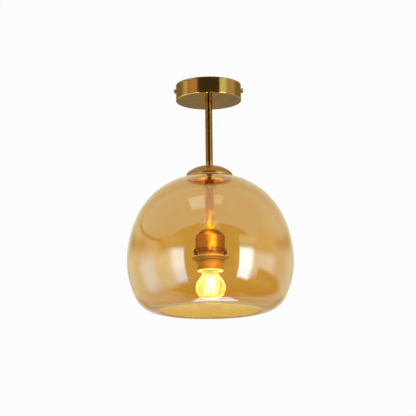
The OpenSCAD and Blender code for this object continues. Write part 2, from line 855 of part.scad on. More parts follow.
module screw_shell() {
    color(brass)
        tube(shell_top, shell_top - shell_l, shell_bore + 2 * shell_t, shell_bore);
}

// Springy tongue that the bulb's tip rests against
module centre_contact() {
    tongue_t = 0.5;
    tongue_w = 6;
    dip = tip_top + contact_gap + tongue_t;
    outline = rounded([
        [-10.5, shell_top, 0], [-4.5, shell_top, 1], [1, dip, 1.5], [4.5, dip + 1, 0]
    ]);
    color(brass)
        rotate([90, 0, 0])
            linear_extrude(tongue_w, center = true)
                polygon(sheet(outline, tongue_t));
}

module holder_screws() {
    color(steel)
        for (side = [-1, 1])
            translate([side * holder_screw_x, 0, core_top + 1])
                pan_screw(3, holder_head_d, 2, 7);
}

// Skirt: a neck inside the cover, a threaded zone for the shade ring, and a plain nose with a lip for the core
module holder_skirt() {
    bore_r = core_d / 2 + 0.1;
    neck_r = holder_d / 2 - cover_wall - thread_fit;
    zone_end = cover_end - skirt_thread_h;
    color("peru")
        rotate_extrude()
            polygon(rounded([
                [bore_r, cover_end + 6, 0], [neck_r, cover_end + 6, 0.4], [neck_r, cover_end, 0],
                [skirt_thread_d / 2, cover_end, 0.5], [skirt_thread_d / 2, zone_end, 0.4],
                [nose_d / 2, zone_end - 0.7, 0], [nose_d / 2, skirt_end, 1], [bore_r - 1.4, skirt_end, 0.8],
                [bore_r - 1.4, core_end - seat_gap, 0.4], [bore_r, core_end - seat_gap, 0]
            ]));
}

// Shade ring: a wide flange on a short threaded collar
module shade_ring() {
    bore_r = skirt_thread_d / 2 + thread_fit;
    color("peru")
        rotate_extrude()
            polygon(rounded([
                [bore_r, ring_top, 0], [ring_d / 2, ring_top, 0.8], [ring_d / 2, ring_top - ring_t, 0.8],
                [ring_collar_d / 2, ring_top - ring_t, 0.6], [ring_collar_d / 2, ring_top - ring_h, 0.5],
                [bore_r, ring_top - ring_h, 0]
            ]));
}

module bulb_cap() {
    outline = rounded([
        [bulb_cap_d / 2 - 1.6, bulb_cap_top, 0], [bulb_cap_d / 2, bulb_cap_top - 2, 1],
        [bulb_cap_d / 2, bulb_cap_end + 1.4, 0], [bulb_cap_d / 2 + 0.3, bulb_cap_end, 0]
    ]);
    color(steel)
        rotate_extrude()
            polygon(sheet(outline, bulb_cap_t));
}

module bulb_insulator() {
    color("black")
        rotate_extrude()
            polygon(rounded([
                [0, tip_top - tip_t, 0], [5.2, tip_top - tip_t, 0.5],
                [bulb_cap_d / 2 - 1.6, bulb_cap_top, 0], [0, bulb_cap_top, 0]
            ]));
}

module tip_contact() {
    color(steel)
        translate([0, 0, tip_top - tip_t])
            rotate_extrude()
                polygon(rounded([[0, 0, 0], [4.8, 0, 0], [4.8, tip_t, 0.9], [0, tip_t, 0]]));
}

// The bulb's outline at a depth t inside its glass: neck, hollow blend and globe
function bulb_outline(t) =
    let (
        blend_a = heading([neck_blend_x, neck_blend_y]),
        blend_c = [neck_blend_x, globe_z + neck_blend_y]
    )
    concat(
        [[neck_r - t, neck_top]],
        arc(blend_c, bulb_neck_r + t, 180, 180 + blend_a, 8),
        arc([0, globe_z], globe_r - t, blend_a * 9 / 10, -90, 26)
    );

module bulb_glass() {
    color([1, 0.95, 0.8, 0.4])
        rotate_extrude()
            polygon(concat(bulb_outline(0), reversed(bulb_outline(bulb_glass_t))));
}

// Inner glass mount: a flare closed on the neck, drawn down to a stalk
module bulb_mount() {
    flare_r = neck_r - bulb_glass_t - thread_fit;
    stalk_r = 2.6;
    color([1, 0.97, 0.9, 0.5])
        rotate_extrude()
            polygon(concat(
                [[0, flare_top], [flare_r, flare_top], [flare_r, flare_top - 0.8]],
                arc([flare_r, flare_top - 0.8 - (flare_r - stalk_r)], flare_r - stalk_r, 95, 180, 10),
                [[stalk_r, mount_end + 0.6], [stalk_r - 0.6, mount_end], [0, mount_end]]
            ));
}

// Wires that carry the filaments: a post with arms at the foot, and short arms at the top
module support_wires() {
    wire_d = 0.7;
    color(steel)
        union() {
            rod([0, 0, mount_end + 1], [0, 0, filament_foot - 1], wire_d);
            for (i = [0:filament_count - 1])
                rotate([0, 0, (i + 0.5) * 360 / filament_count]) {
                    rod([0, 0, filament_foot - 0.6], [filament_foot_r, 0, filament_foot - 0.6], wire_d);
                    rod([1.4, 0, mount_end + 1.5], [filament_top_r, 0, filament_top + 0.6], wire_d);
                }
        }
}

// Upright filaments that lean outwards to the foot
module filaments() {
    color("orange")
        for (i = [0:filament_count - 1])
            rotate([0, 0, (i + 0.5) * 360 / filament_count])
                rod([filament_foot_r, 0, filament_foot], [filament_top_r, 0, filament_top], filament_d);
}

// Small board that stands on the glass mount inside the screw cap
module driver_board() {
    board_w = 14;
    board_t = 1.2;
    board_top = bulb_cap_top - 1.4;
    color("seagreen")
        union() {
            translate([-board_w / 2, -board_t / 2, flare_top])
                cube([board_w, board_t, board_top - flare_top]);
            translate([-3.4, board_t / 2, (board_top + flare_top) / 2 - 1])
                rotate([-90, 0, 0])
                    cylinder(h = 5, d = 6);
            translate([0.6, board_t / 2, flare_top + 2.7])
                cube([5, 3.4, 6]);
        }
}

ceiling_bracket();
earth_screw();
earth_washer();
earth_tag();
terminal_block();
terminal_clamps();
terminal_screws();
block_screw();
canopy();
side_screw_left();
side_screw_right();
knob_washer_left();
knob_washer_right();
canopy_washer();
canopy_nut();
top_nipple();
nipple_bush();
upper_stem();
live_lead();
neutral_lead();
earth_lead();
cap_dome();
cap_spacer();
clamp_washer();
upper_gasket();
glass_shade();
lower_gasket();
clamp_disc();
clamp_nut();
middle_nipple();
lower_stem();
bottom_nipple();
socket_cup();
holder_cover();
holder_core();
screw_shell();
centre_contact();
holder_screws();
holder_skirt();
shade_ring();
bulb_cap();
bulb_insulator();
tip_contact();
bulb_glass();
bulb_mount();
support_wires();
filaments();
driver_board();
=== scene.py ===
import bpy
import bmesh
from math import acos, asin, atan2, ceil, cos, degrees, pi, radians, sin, sqrt, tan
from mathutils import Matrix, Vector


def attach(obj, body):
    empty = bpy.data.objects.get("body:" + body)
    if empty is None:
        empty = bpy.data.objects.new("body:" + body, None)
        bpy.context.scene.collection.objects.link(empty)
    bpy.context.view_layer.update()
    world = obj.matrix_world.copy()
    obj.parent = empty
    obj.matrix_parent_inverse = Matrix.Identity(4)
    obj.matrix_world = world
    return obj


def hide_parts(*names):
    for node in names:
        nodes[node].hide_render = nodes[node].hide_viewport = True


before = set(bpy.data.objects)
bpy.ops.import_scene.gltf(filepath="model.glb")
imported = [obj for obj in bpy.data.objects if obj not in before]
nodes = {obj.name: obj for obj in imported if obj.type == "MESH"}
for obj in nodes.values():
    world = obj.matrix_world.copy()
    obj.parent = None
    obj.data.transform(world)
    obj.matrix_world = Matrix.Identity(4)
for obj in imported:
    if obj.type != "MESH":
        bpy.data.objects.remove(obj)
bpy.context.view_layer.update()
scene = bpy.context.scene
mm = 0.001
# what counts as nothing: metres and square metres, apart from an outline's radius in mm
tiny = {"radius": 1e-6, "doubles": 1e-6, "seam": 0.000002, "edge": 1e-7, "face": 1e-14}


def addObject(name, data):
    thing = bpy.data.objects.new(name, data)
    scene.collection.objects.link(thing)
    return thing


# camera: a long lens below the lamp, looking slightly up
cameraSetup = {"place": (-0.00273, -2.5336, -0.7297), "lens": 148.4, "sensor": 36, "farthest": 60,
               "pitch": 11.976, "roll": -0.653}
cameraData = bpy.data.cameras.new("photoCamera")
cameraData.lens = cameraSetup["lens"]
cameraData.sensor_width = cameraSetup["sensor"]
cameraData.clip_end = cameraSetup["farthest"]
scene.camera = addObject("photoCamera", cameraData)
scene.camera.matrix_world = (Matrix.Translation(cameraSetup["place"])
                             @ Matrix.Rotation(radians(90 + cameraSetup["pitch"]), 4, "X")
                             @ Matrix.Rotation(radians(cameraSetup["roll"]), 4, "Z"))
scene.view_settings.view_transform = "Standard"
print("camera set")


# small helpers for node trees
def feed(socket, value):
    # links another socket or sets a plain value; a colour comes without its alpha
    if isinstance(value, bpy.types.NodeSocket):
        socket.id_data.links.new(value, socket)
    elif socket.type == "RGBA":
        socket.default_value = (*value, 1)
    else:
        socket.default_value = value


def setInputs(node, values):
    for name, value in values.items():
        feed(node.inputs[name], value)


def addNode(tree, kind, inputs=None, **settings):
    node = tree.nodes.new(kind)
    for key, value in settings.items():
        setattr(node, key, value)
    setInputs(node, inputs or {})
    return node


def maths(operation, *values, clamp=False):
    tree = next(value.id_data for value in values if isinstance(value, bpy.types.NodeSocket))
    inputs = dict(enumerate(values))
    return addNode(tree, "ShaderNodeMath", inputs, operation=operation, use_clamp=clamp).outputs[0]


def plus(a, b):
    return maths("ADD", a, b)


def minus(a, b):
    return maths("SUBTRACT", a, b)


def times(a, b):
    return maths("MULTIPLY", a, b)


def over(a, b):
    return maths("DIVIDE", a, b)


def ramp(value, low, high, toLow=0.0, toHigh=1.0):
    inputs = {"Value": value, "From Min": low, "From Max": high, "To Min": toLow, "To Max": toHigh}
    return addNode(value.id_data, "ShaderNodeMapRange", inputs, interpolation_type="SMOOTHSTEP").outputs[0]


def window(value, low, high, soft, softHigh=None):
    # one between low and high, and zero outside
    softHigh = softHigh or soft
    return times(ramp(value, low - soft, low + soft), ramp(value, high - softHigh, high + softHigh, 1.0, 0.0))


def blendColor(factor, a, b):
    return addNode(factor.id_data, "ShaderNodeMix", {0: factor, 6: a, 7: b}, data_type="RGBA").outputs[2]


def separate(vector):
    return list(addNode(vector.id_data, "ShaderNodeSeparateXYZ", {0: vector}).outputs)


def combine(x, y, z):
    return addNode(z.id_data, "ShaderNodeCombineXYZ", {0: x, 1: y, 2: z}).outputs[0]


def noise(vector, scale, detail=2.0):
    inputs = {"Vector": vector, "Scale": scale, "Detail": detail}
    return addNode(vector.id_data, "ShaderNodeTexNoise", inputs).outputs[0]


def mixShaders(factor, a, b):
    return addNode(factor.id_data, "ShaderNodeMixShader", {0: factor, 1: a, 2: b}).outputs[0]


# studio: pale surroundings, and soft boxes that only reflections see
# angles in degrees: azimuth from the camera's side towards +X, then elevation
studio = {"white": 0.973, "fill": 1.0, "wallTop": 0.7427, "wallWidth": 76, "haze": 0.6, "lipHaze": 0.95,
          "front": (0.085, 0.078, 0.068), "low": (0.12, 0.07, 0.05), "below": (0.3, 0.22, 0.15),
          "ceiling": (0.86, 1.1, 1.12), "side": (0.27, 0.22, 0.17), "sideLow": (0.9, 1.18, 1.04),
          "backLow": (0.47, 0.5, 0.4), "backMid": (0.78, 0.74, 0.62), "backHigh": (0.72, 0.76, 0.62),
          "hazeColor": (0.95, 0.86, 0.7)}
# where one part of the room runs into the next
zones = {"backUp": (-21, -8, 3), "backSide": (142, 156), "sideUp": (12, 19, 5), "sideAway": (86, 112),
         "ceilingUp": (18, 25), "ceilingSide": (110, 140), "belowUp": (-72, -58), "wallUp": (-75, -35),
         "wallEdge": (-0.02, 0.03), "wallSoft": 4}
softBoxes = ({"edges": (50, 98, -24, 7), "soft": (7, 9, 6, 7), "light": (1.9, 2.7, 3.1)},
             {"edges": (40, 60, -29, 9), "soft": (1.5, 5, 2.5, 5), "light": (6.5, 9.5, 12.0)},
             {"edges": (40, 68, 12, 22), "soft": (1.5, 8, 4, 4), "light": (1.12, 1.58, 1.25)},
             {"edges": (68, 100, 6, 25), "soft": (6, 8, 4, 3), "light": (0.68, 0.76, 0.68)},
             {"edges": (70, 126, -62, -12), "soft": (4, 12, 6, 3), "light": (0.1, 0.08, 0.06)},
             {"edges": (-112, -80, -30, 5), "soft": (12, 9, 12, 9), "light": (1.9, 3.1, 3.9)},
             {"edges": (-80, -56, -38, 6), "soft": (7, 8, 8, 8), "light": (1.5, 2.3, 2.2)},
             {"edges": (-56, -36, -34, 9), "soft": (9, 1.5, 5, 4), "light": (2.7, 5.0, 7.2)},
             {"edges": (-80, -40, 12, 22), "soft": (7, 6, 4, 4), "light": (0.74, 0.58, 0.37)})
# the edge of a beam in the room
darkLine = {"from": -132, "to": -72, "height": 17.6, "slope": -0.13, "half": 1.2, "soft": 0.8, "endSoft": 5,
            "light": (0.12, 0.05, 0.03)}
# sheets that lie flat: two panels above the lamp and a paper below it, in units of their height or depth
flatSheets = ({"side": -1.0, "edges": (-0.14, 0.23, 0.3, 1.1), "light": (3.5, 4.5, 5.2)},
              {"side": 1.0, "edges": (-0.45, -0.11, -0.68, -0.25), "light": (2.0, 2.8, 2.7)},
              {"side": 1.0, "edges": (0.1, 0.27, -0.56, -0.25), "light": (1.7, 2.3, 2.2)})
sheetSoft = {"across": 0.02, "along": 0.05, "nearest": 0.05}


def roomColor(x, y, z):
    # what a reflection sees in each direction
    forward = times(y, -1.0)
    azimuth = times(maths("ARCTAN2", x, forward), 180 / pi)
    elevation = times(maths("ARCSINE", z), 180 / pi)
    away = maths("ABSOLUTE", azimuth)
    behind = blendColor(window(elevation, *zones["backUp"]), studio["backMid"], studio["backLow"])
    flag = times(window(elevation, *zones["sideUp"]), ramp(away, *zones["sideAway"]))
    beside = blendColor(flag, studio["sideLow"], studio["side"])
    high = blendColor(ramp(away, *zones["ceilingSide"]), studio["ceiling"], studio["backHigh"])
    rear = blendColor(ramp(away, *zones["backSide"]), beside, behind)
    rear = blendColor(ramp(elevation, *zones["ceilingUp"]), rear, high)
    rear = blendColor(ramp(elevation, *zones["belowUp"]), studio["below"], rear)
    wall = blendColor(ramp(elevation, *zones["wallUp"]), studio["low"], studio["front"])
    overEdge = ramp(minus(z, times(forward, studio["wallTop"])), *zones["wallEdge"])
    front = blendColor(overEdge, wall, studio["ceiling"])
    facing = window(azimuth, -studio["wallWidth"], studio["wallWidth"], zones["wallSoft"])
    room = blendColor(facing, rear, front)
    for box in softBoxes:
        (left, right, bottom, top), soft = box["edges"], box["soft"]
        shape = times(window(azimuth, left, right, *soft[:2]), window(elevation, bottom, top, *soft[2:]))
        room = blendColor(shape, room, box["light"])
    line = maths("MULTIPLY_ADD", minus(azimuth, darkLine["to"]), darkLine["slope"], darkLine["height"])
    shape = times(window(azimuth, darkLine["from"], darkLine["to"], darkLine["endSoft"]),
                  window(minus(elevation, line), -darkLine["half"], darkLine["half"], darkLine["soft"]))
    room = blendColor(shape, room, darkLine["light"])
    for sheet in flatSheets:
        depth = maths("MAXIMUM", times(z, sheet["side"]), sheetSoft["nearest"])
        left, right, near, far = sheet["edges"]
        shape = times(window(over(x, depth), left, right, sheetSoft["across"]),
                      window(over(y, depth), near, far, sheetSoft["along"]))
        room = blendColor(shape, room, sheet["light"])
    return room


def buildWorld():
    world = bpy.data.worlds.new("studio")
    scene.world = world
    world.use_nodes = True
    world.cycles.sampling_method = "NONE"
    tree = world.node_tree
    tree.nodes.clear()
    room = roomColor(*separate(addNode(tree, "ShaderNodeTexCoord").outputs["Generated"]))
    light = addNode(tree, "ShaderNodeLightPath").outputs
    haze = ramp(light["Glossy Depth"], 1, 2, studio["haze"], studio["lipHaze"])
    room = blendColor(times(light["Is Transmission Ray"], haze), room, studio["hazeColor"])
    strength = ramp(light["Is Diffuse Ray"], 0, 1, studio["white"], studio["fill"])
    plain = addNode(tree, "ShaderNodeBackground", {0: (1, 1, 1), 1: strength}).outputs[0]
    seen = addNode(tree, "ShaderNodeBackground", {0: room}).outputs[0]
    surface = mixShaders(maths("GREATER_THAN", light["Glossy Depth"], 0.5), plain, seen)
    addNode(tree, "ShaderNodeOutputWorld", {0: surface})


floorForm = {"half": 9.0, "drop": -3.4, "color": (0.86, 0.86, 0.86), "cloud": (0.9, 0.9, 0.9), "rough": 0.9}


def buildFloor():
    mesh = bpy.data.meshes.new("paleFloor")
    half, drop = floorForm["half"], floorForm["drop"]
    corners = [(x * half, y * half, drop) for x, y in ((-1, -1), (1, -1), (1, 1), (-1, 1))]
    mesh.from_pydata(corners, [], [(0, 1, 2, 3)])
    floor = addObject("paleFloor", mesh)
    floor.visible_glossy = False
    material = bpy.data.materials.new("paleFloor")
    material.use_nodes = True
    place = addNode(material.node_tree, "ShaderNodeTexCoord").outputs["Object"]
    color = blendColor(noise(place, 3), floorForm["color"], floorForm["cloud"])
    shader = material.node_tree.nodes["Principled BSDF"]
    setInputs(shader, {"Base Color": color, "Roughness": floorForm["rough"]})
    mesh.materials.append(material)


def softLamp(name, place, target, size, power, color=(1, 1, 1), kind="AREA"):
    # no mirror shows the two large studio lamps
    data = bpy.data.lights.new(name, kind)
    if kind == "AREA":
        data.shape = "DISK"
        data.size = size
    else:
        data.shadow_soft_size = size
    data.energy = power
    data.color = color
    data.cycles.use_multiple_importance_sampling = False
    lamp = addObject(name, data)
    lamp.location = place
    lamp.rotation_euler = (Vector(target) - Vector(place)).to_track_quat("-Z", "Y").to_euler()
    lamp.visible_transmission = False
    lamp.visible_camera = False
    lamp.visible_glossy = kind == "POINT"


studioLamps = {"keyLamp": {"place": (1.6, -1.9, 0.9), "target": (0, 0, -0.2), "size": 1.4, "power": 4},
               "fillLamp": {"place": (-1.9, -1.2, -0.9), "target": (0, 0, -0.2), "size": 1.6, "power": 2}}
# what the shade throws back of the bulb's light
glow = {"radius": 0.085, "height": -0.24, "size": 0.034, "power": 0.6, "color": (1.0, 0.78, 0.42),
        "turns": (13, 160, 200), "stemPlace": (-0.006, -0.03, -0.213), "stemSize": 0.008, "stemPower": 0.22}

buildWorld()
buildFloor()
for name, lamp in studioLamps.items():
    softLamp(name, **lamp)
for turn in glow["turns"]:
    angle = radians(turn - 90)
    place = (glow["radius"] * cos(angle), glow["radius"] * sin(angle), glow["height"])
    softLamp("shadeGlow%d" % turn, place, (0, 0, glow["height"]), glow["size"], glow["power"], glow["color"],
             kind="POINT")
softLamp("stemGlow", glow["stemPlace"], (0, 0, glow["stemPlace"][2]), glow["stemSize"], glow["stemPower"],
         glow["color"], kind="POINT")
print("studio built")


# surface effects that several materials share, one node group each
def newGroup(name, inputs, outputs):
    tree = bpy.data.node_groups.new(name, "ShaderNodeTree")
    for label, kind, value in [("Vector", "Vector", None)] + inputs:
        socket = tree.interface.new_socket(label, in_out="INPUT", socket_type="NodeSocket" + kind)
        if value is not None:
            socket.default_value = value
    for label in outputs:
        tree.interface.new_socket(label, in_out="OUTPUT", socket_type="NodeSocketFloat")
    return tree, addNode(tree, "NodeGroupInput").outputs, addNode(tree, "NodeGroupOutput")


def buildTurningMarks():
    # fine rings that a spinning or turning tool leaves round the z axis, with a slow uneven polish
    inputs = [("Rings", "Float", 3000.0), ("Streak", "Float", 12.0), ("Uneven", "Float", 40.0)]
    tree, given, result = newGroup("turningMarks", inputs, ["Marks", "Polish"])
    x, y, z = separate(given["Vector"])
    radius = maths("SQRT", plus(times(x, x), times(y, y)))
    rings, streak = given["Rings"], times(plus(x, y), given["Streak"])
    spot = combine(times(radius, rings), times(z, rings), streak)
    polish = ramp(noise(given["Vector"], given["Uneven"], 4.0), 0.3, 0.7)
    setInputs(result, {"Marks": noise(spot, 1.0, 3.0), "Polish": polish})
    return tree


def buildFineGrain():
    # an even grain in all directions with larger clouds, for plated, moulded and cast faces
    inputs = [("Scale", "Float", 900.0), ("Clouds", "Float", 60.0)]
    tree, given, result = newGroup("fineGrain", inputs, ["Grain", "Cloud"])
    for label, detail, out in (("Scale", 3, "Grain"), ("Clouds", 4, "Cloud")):
        feed(result.inputs[out], ramp(noise(given["Vector"], given[label], detail), 0.25, 0.75))
    return tree


def buildSettledDust():
    # thin dust that lies on faces looking up
    tree, given, result = newGroup("settledDust", [("Amount", "Float", 0.3)], ["Dust"])
    up = separate(addNode(tree, "ShaderNodeNewGeometry").outputs["Normal"])[2]
    speck = ramp(noise(given["Vector"], 220, 6), 0.42, 0.7)
    feed(result.inputs["Dust"], times(times(ramp(up, 0.55, 1.0), speck), given["Amount"]))
    return tree


groups = {"turned": buildTurningMarks(), "grain": buildFineGrain(), "dust": buildSettledDust()}
dustLook = {"color": (0.5, 0.47, 0.42), "rough": 0.4}
bumpDepth = {"rings": 0.00002, "grain": 0.00004, "fine": 0.00003}


def effect(key, vector, **values):
    node = addNode(vector.id_data, "ShaderNodeGroup", node_tree=groups[key])
    setInputs(node, {"Vector": vector, **values})
    return node.outputs


def newMaterial(name):
    material = bpy.data.materials.new(name)
    material.use_nodes = True
    place = addNode(material.node_tree, "ShaderNodeTexCoord").outputs["Object"]
    return material, material.node_tree.nodes["Principled BSDF"], place


def addBump(shader, height, strength, distance):
    inputs = {"Strength": strength, "Distance": distance, "Height": height}
    feed(shader.inputs["Normal"], addNode(height.id_data, "ShaderNodeBump", inputs).outputs[0])


def turnedMetal(name, color, dark, rough, spread=0.08, rings=3000, bump=0.12, dust=0.25, grazing=(1, 1, 1),
                foot=None, centre=None):
    # foot is a darker lower end; centre is a point of a turning axis that runs along x
    material, shader, vector = newMaterial(name)
    if centre:
        inputs = {"Vector": vector, "Location": centre, "Rotation": (0, pi / 2, 0)}
        vector = addNode(material.node_tree, "ShaderNodeMapping", inputs, vector_type="TEXTURE").outputs[0]
    marks = effect("turned", vector, Rings=rings)
    dusty = effect("dust", vector, Amount=dust)["Dust"]
    base = blendColor(marks["Polish"], dark, color)
    base = blendColor(times(marks["Marks"], 0.25), base, dark)
    if foot:
        low = ramp(separate(vector)[2], foot["top"], foot["top"] - foot["soft"])
        base = blendColor(low, base, foot["color"])
    uneven = plus(times(marks["Polish"], -spread), rough + spread / 2)
    uneven = plus(uneven, times(marks["Marks"], spread))
    setInputs(shader, {"Base Color": blendColor(dusty, base, dustLook["color"]), "Metallic": 1,
                       "Roughness": maths("ADD", uneven, times(dusty, dustLook["rough"]), clamp=True),
                       "Specular Tint": grazing})
    addBump(shader, marks["Marks"], bump, bumpDepth["rings"])
    return material


def grainMaterial(name, color, other, rough, metallic=0.0, scale=900, clouds=60, bump=0.15, coat=0.0,
                  dust=0.2, spread=0.12):
    material, shader, vector = newMaterial(name)
    grain = effect("grain", vector, Scale=scale, Clouds=clouds)
    dusty = effect("dust", vector, Amount=dust)["Dust"]
    base = blendColor(grain["Cloud"], color, other)
    setInputs(shader, {"Base Color": blendColor(dusty, base, dustLook["color"]), "Metallic": metallic,
                       "Roughness": plus(times(grain["Cloud"], spread), rough), "Coat Weight": coat,
                       "Coat Roughness": 0.08})
    addBump(shader, grain["Grain"], bump, bumpDepth["grain"])
    return material


glassWall = {"clouds": 9, "deeper": 1.12, "waves": 26, "waveDepth": 0.0008, "bounces": 4.5}


def glassMaterial(name, tint, shadow, rough=0.0, ior=1.5, ripple=0.0, smear=0.02, mouth=None):
    # clear blown glass; lamps shine through it by the transparent shadow branch
    material, shader, vector = newMaterial(name)
    cloud = noise(vector, glassWall["clouds"], 3)
    deeper = tuple(c ** glassWall["deeper"] for c in tint)
    body = blendColor(ramp(cloud, 0.35, 0.65), tint, deeper)
    if mouth:
        low = ramp(separate(vector)[2], mouth["high"], mouth["low"])
        body = blendColor(low, body, tuple(c ** mouth["power"] for c in tint))
    setInputs(shader, {"Base Color": body, "Roughness": ramp(cloud, 0.55, 0.8, rough, rough + smear),
                       "Transmission Weight": 1, "IOR": ior})
    if ripple:
        addBump(shader, noise(vector, glassWall["waves"], 1.5), ripple, glassWall["waveDepth"])
    through = addNode(material.node_tree, "ShaderNodeBsdfTransparent", {0: shadow}).outputs[0]
    light = addNode(material.node_tree, "ShaderNodeLightPath").outputs
    caught = maths("GREATER_THAN", light["Ray Depth"], glassWall["bounces"])
    surface = mixShaders(maths("MAXIMUM", light["Is Shadow Ray"], caught), shader.outputs[0], through)
    feed(material.node_tree.nodes["Material Output"].inputs["Surface"], surface)
    return material


brassLook = {"color": (0.58, 0.31, 0.082), "dark": (0.5, 0.25, 0.062)}
canopyLook = {"rough": 0.1, "spread": 0.03, "bump": 0.05, "dust": 0.1, "grazing": (0.6, 0.6, 0.6)}
screwLook = {**brassLook, "rough": 0.22, "dust": 0.1}
tubeLook = {"spread": 0.04, "rings": 2200, "bump": 0.02, "dust": 0.0}
clampLook = {"rough": 0.34, "bump": 0.05, "dust": 0.15}
satinBrass = turnedMetal("satinBrass", **brassLook, **canopyLook)
# a brighter copy of the stem brass for the stem inside the shade: painted light that stands in for the bulb's
# light falling on it
innerBrass = turnedMetal("innerBrass", (0.9, 0.58, 0.03), (0.82, 0.5, 0.025), 0.2, **tubeLook)
stemBrass = turnedMetal("stemBrass", (0.32, 0.128, 0.026), (0.26, 0.095, 0.018), 0.22, **tubeLook)
screwBrassLeft = turnedMetal("screwBrassLeft", **screwLook, centre=(-0.05, 0, -0.0093))
screwBrassRight = turnedMetal("screwBrassRight", **screwLook, centre=(0.05, 0, -0.0093))
capBrass = turnedMetal("capBrass", (0.44, 0.19, 0.046), (0.36, 0.145, 0.032), **clampLook)
discBrass = turnedMetal("discBrass", (0.27, 0.115, 0.03), (0.21, 0.085, 0.02), **clampLook)
cupFoot = {"top": -0.2555, "soft": 0.0005, "color": (0.3, 0.13, 0.035)}
cupBrass = turnedMetal("cupBrass", (0.72, 0.4, 0.09), (0.6, 0.31, 0.06), 0.25, bump=0.05, dust=0.15,
                       grazing=(0.2, 0.12, 0.06), foot=cupFoot)
holderGold = turnedMetal("holderGold", (0.68, 0.49, 0.24), (0.58, 0.41, 0.18), 0.75, bump=0.05, dust=0.2)
nickelPlate = turnedMetal("nickelPlate", (0.74, 0.73, 0.70), (0.62, 0.61, 0.58), 0.2, bump=0.08, dust=0.0)
plainBrass = grainMaterial("plainBrass", (0.80, 0.62, 0.30), (0.66, 0.48, 0.21), 0.26, metallic=1,
                           bump=0.1, dust=0.1)
zincSteel = grainMaterial("zincSteel", (0.66, 0.67, 0.68), (0.58, 0.60, 0.64), 0.28, metallic=1, clouds=240,
                          bump=0.12, dust=0.25)
tinnedCopper = grainMaterial("tinnedCopper", (0.72, 0.71, 0.69), (0.62, 0.61, 0.6), 0.3, metallic=1, bump=0.1)
solder = grainMaterial("solder", (0.62, 0.62, 0.61), (0.5, 0.5, 0.5), 0.35, metallic=1, scale=1400,
                       clouds=500, bump=0.4, dust=0.0)
ivoryPlastic = grainMaterial("ivoryPlastic", (0.86, 0.83, 0.74), (0.82, 0.78, 0.68), 0.42, scale=2200,
                             bump=0.12, dust=0.3)
insulation = {"rough": 0.42, "scale": 1500, "dust": 0.15}
brownInsulation = grainMaterial("brownInsulation", (0.20, 0.085, 0.035), (0.16, 0.065, 0.03), **insulation)
blueInsulation = grainMaterial("blueInsulation", (0.03, 0.14, 0.42), (0.03, 0.11, 0.35), **insulation)
gasketRubber = grainMaterial("gasketRubber", (0.05, 0.05, 0.05), (0.08, 0.078, 0.075), 0.6, scale=2600,
                             bump=0.3, dust=0.2)
blackGlass = grainMaterial("blackGlass", (0.012, 0.012, 0.012), (0.02, 0.02, 0.022), 0.08, clouds=30,
                           bump=0.05, coat=0.5, dust=0.0, spread=0.05)
glazedCeramic = grainMaterial("glazedCeramic", (0.84, 0.83, 0.79), (0.78, 0.76, 0.71), 0.16, scale=500,
                              clouds=90, bump=0.1, coat=0.6, dust=0.1)
amberGlass = glassMaterial("amberGlass", (0.815, 0.588, 0.216), (0.84, 0.66, 0.38), ior=1.7, ripple=0.12,
                           smear=0, mouth={"low": -0.339, "high": -0.318, "power": 1.5})
bulbGlass = glassMaterial("bulbGlass", (1.0, 0.96, 0.88), (0.97, 0.94, 0.86), rough=0.42, ior=1.3)
clearGlass = glassMaterial("clearGlass", (0.97, 0.97, 0.95), (0.95, 0.95, 0.94), ior=1.45)


stripeLook = {"scale": 110, "twist": 1.2, "edge": (0.44, 0.56), "green": (0.04, 0.26, 0.05),
              "yellow": (0.66, 0.56, 0.03)}


def earthStripes(name):
    # green and yellow insulation: the yellow runs round the lead in a slow spiral
    material, shader, vector = newMaterial(name)
    inputs = {"Scale": stripeLook["scale"], "Distortion": stripeLook["twist"], "Vector": vector}
    wave = addNode(material.node_tree, "ShaderNodeTexWave", inputs, bands_direction="DIAGONAL").outputs["Fac"]
    grain = effect("grain", vector, Scale=1500)
    base = blendColor(ramp(wave, *stripeLook["edge"]), stripeLook["green"], stripeLook["yellow"])
    setInputs(shader, {"Base Color": base, "Roughness": plus(times(grain["Cloud"], 0.12), 0.4)})
    addBump(shader, grain["Grain"], 0.1, bumpDepth["fine"])
    return material


filamentLook = {"chips": 260, "strength": 450, "joint": (0.95, 0.86, 0.72), "hot": (0.85, 0.95, 1.0),
                "phosphor": (1.0, 0.62, 0.18), "shaded": (0.95, 0.52, 0.12)}


def glowingFilament(name):
    # phosphor under silicone: a bright core with darker joints between the chips
    material, shader, vector = newMaterial(name)
    inputs = {"Scale": filamentLook["chips"], "Vector": vector}
    chips = addNode(material.node_tree, "ShaderNodeTexWave", inputs, bands_direction="Z").outputs["Fac"]
    grain = effect("grain", vector, Scale=2600)
    setInputs(shader, {
        "Base Color": blendColor(grain["Cloud"], filamentLook["phosphor"], filamentLook["shaded"]),
        "Roughness": plus(times(grain["Grain"], 0.15), 0.3),
        "Emission Color": blendColor(ramp(chips, 0.1, 0.6), filamentLook["joint"], filamentLook["hot"]),
        "Emission Strength": filamentLook["strength"]})
    return material


boardLook = {"tracks": 160, "gap": 0.06, "mask": (0.02, 0.17, 0.07), "track": (0.07, 0.32, 0.14),
             "cloud": (0.02, 0.1, 0.05)}


def circuitBoard(name):
    # green solder mask with paler tracks
    material, shader, vector = newMaterial(name)
    inputs = {"Scale": boardLook["tracks"], "Mortar Size": boardLook["gap"], "Vector": vector}
    tracks = addNode(material.node_tree, "ShaderNodeTexBrick", inputs).outputs["Fac"]
    cloud = effect("grain", vector, Scale=1200)["Cloud"]
    base = blendColor(tracks, boardLook["mask"], boardLook["track"])
    setInputs(shader, {"Base Color": blendColor(times(cloud, 0.3), base, boardLook["cloud"]),
                       "Roughness": plus(times(cloud, 0.15), 0.3)})
    addBump(shader, tracks, 0.3, bumpDepth["fine"])
    return material


earthInsulation = earthStripes("earthInsulation")
filamentGlow = glowingFilament("filamentGlow")
boardGreen = circuitBoard("boardGreen")
print("materials built:", len(bpy.data.materials))


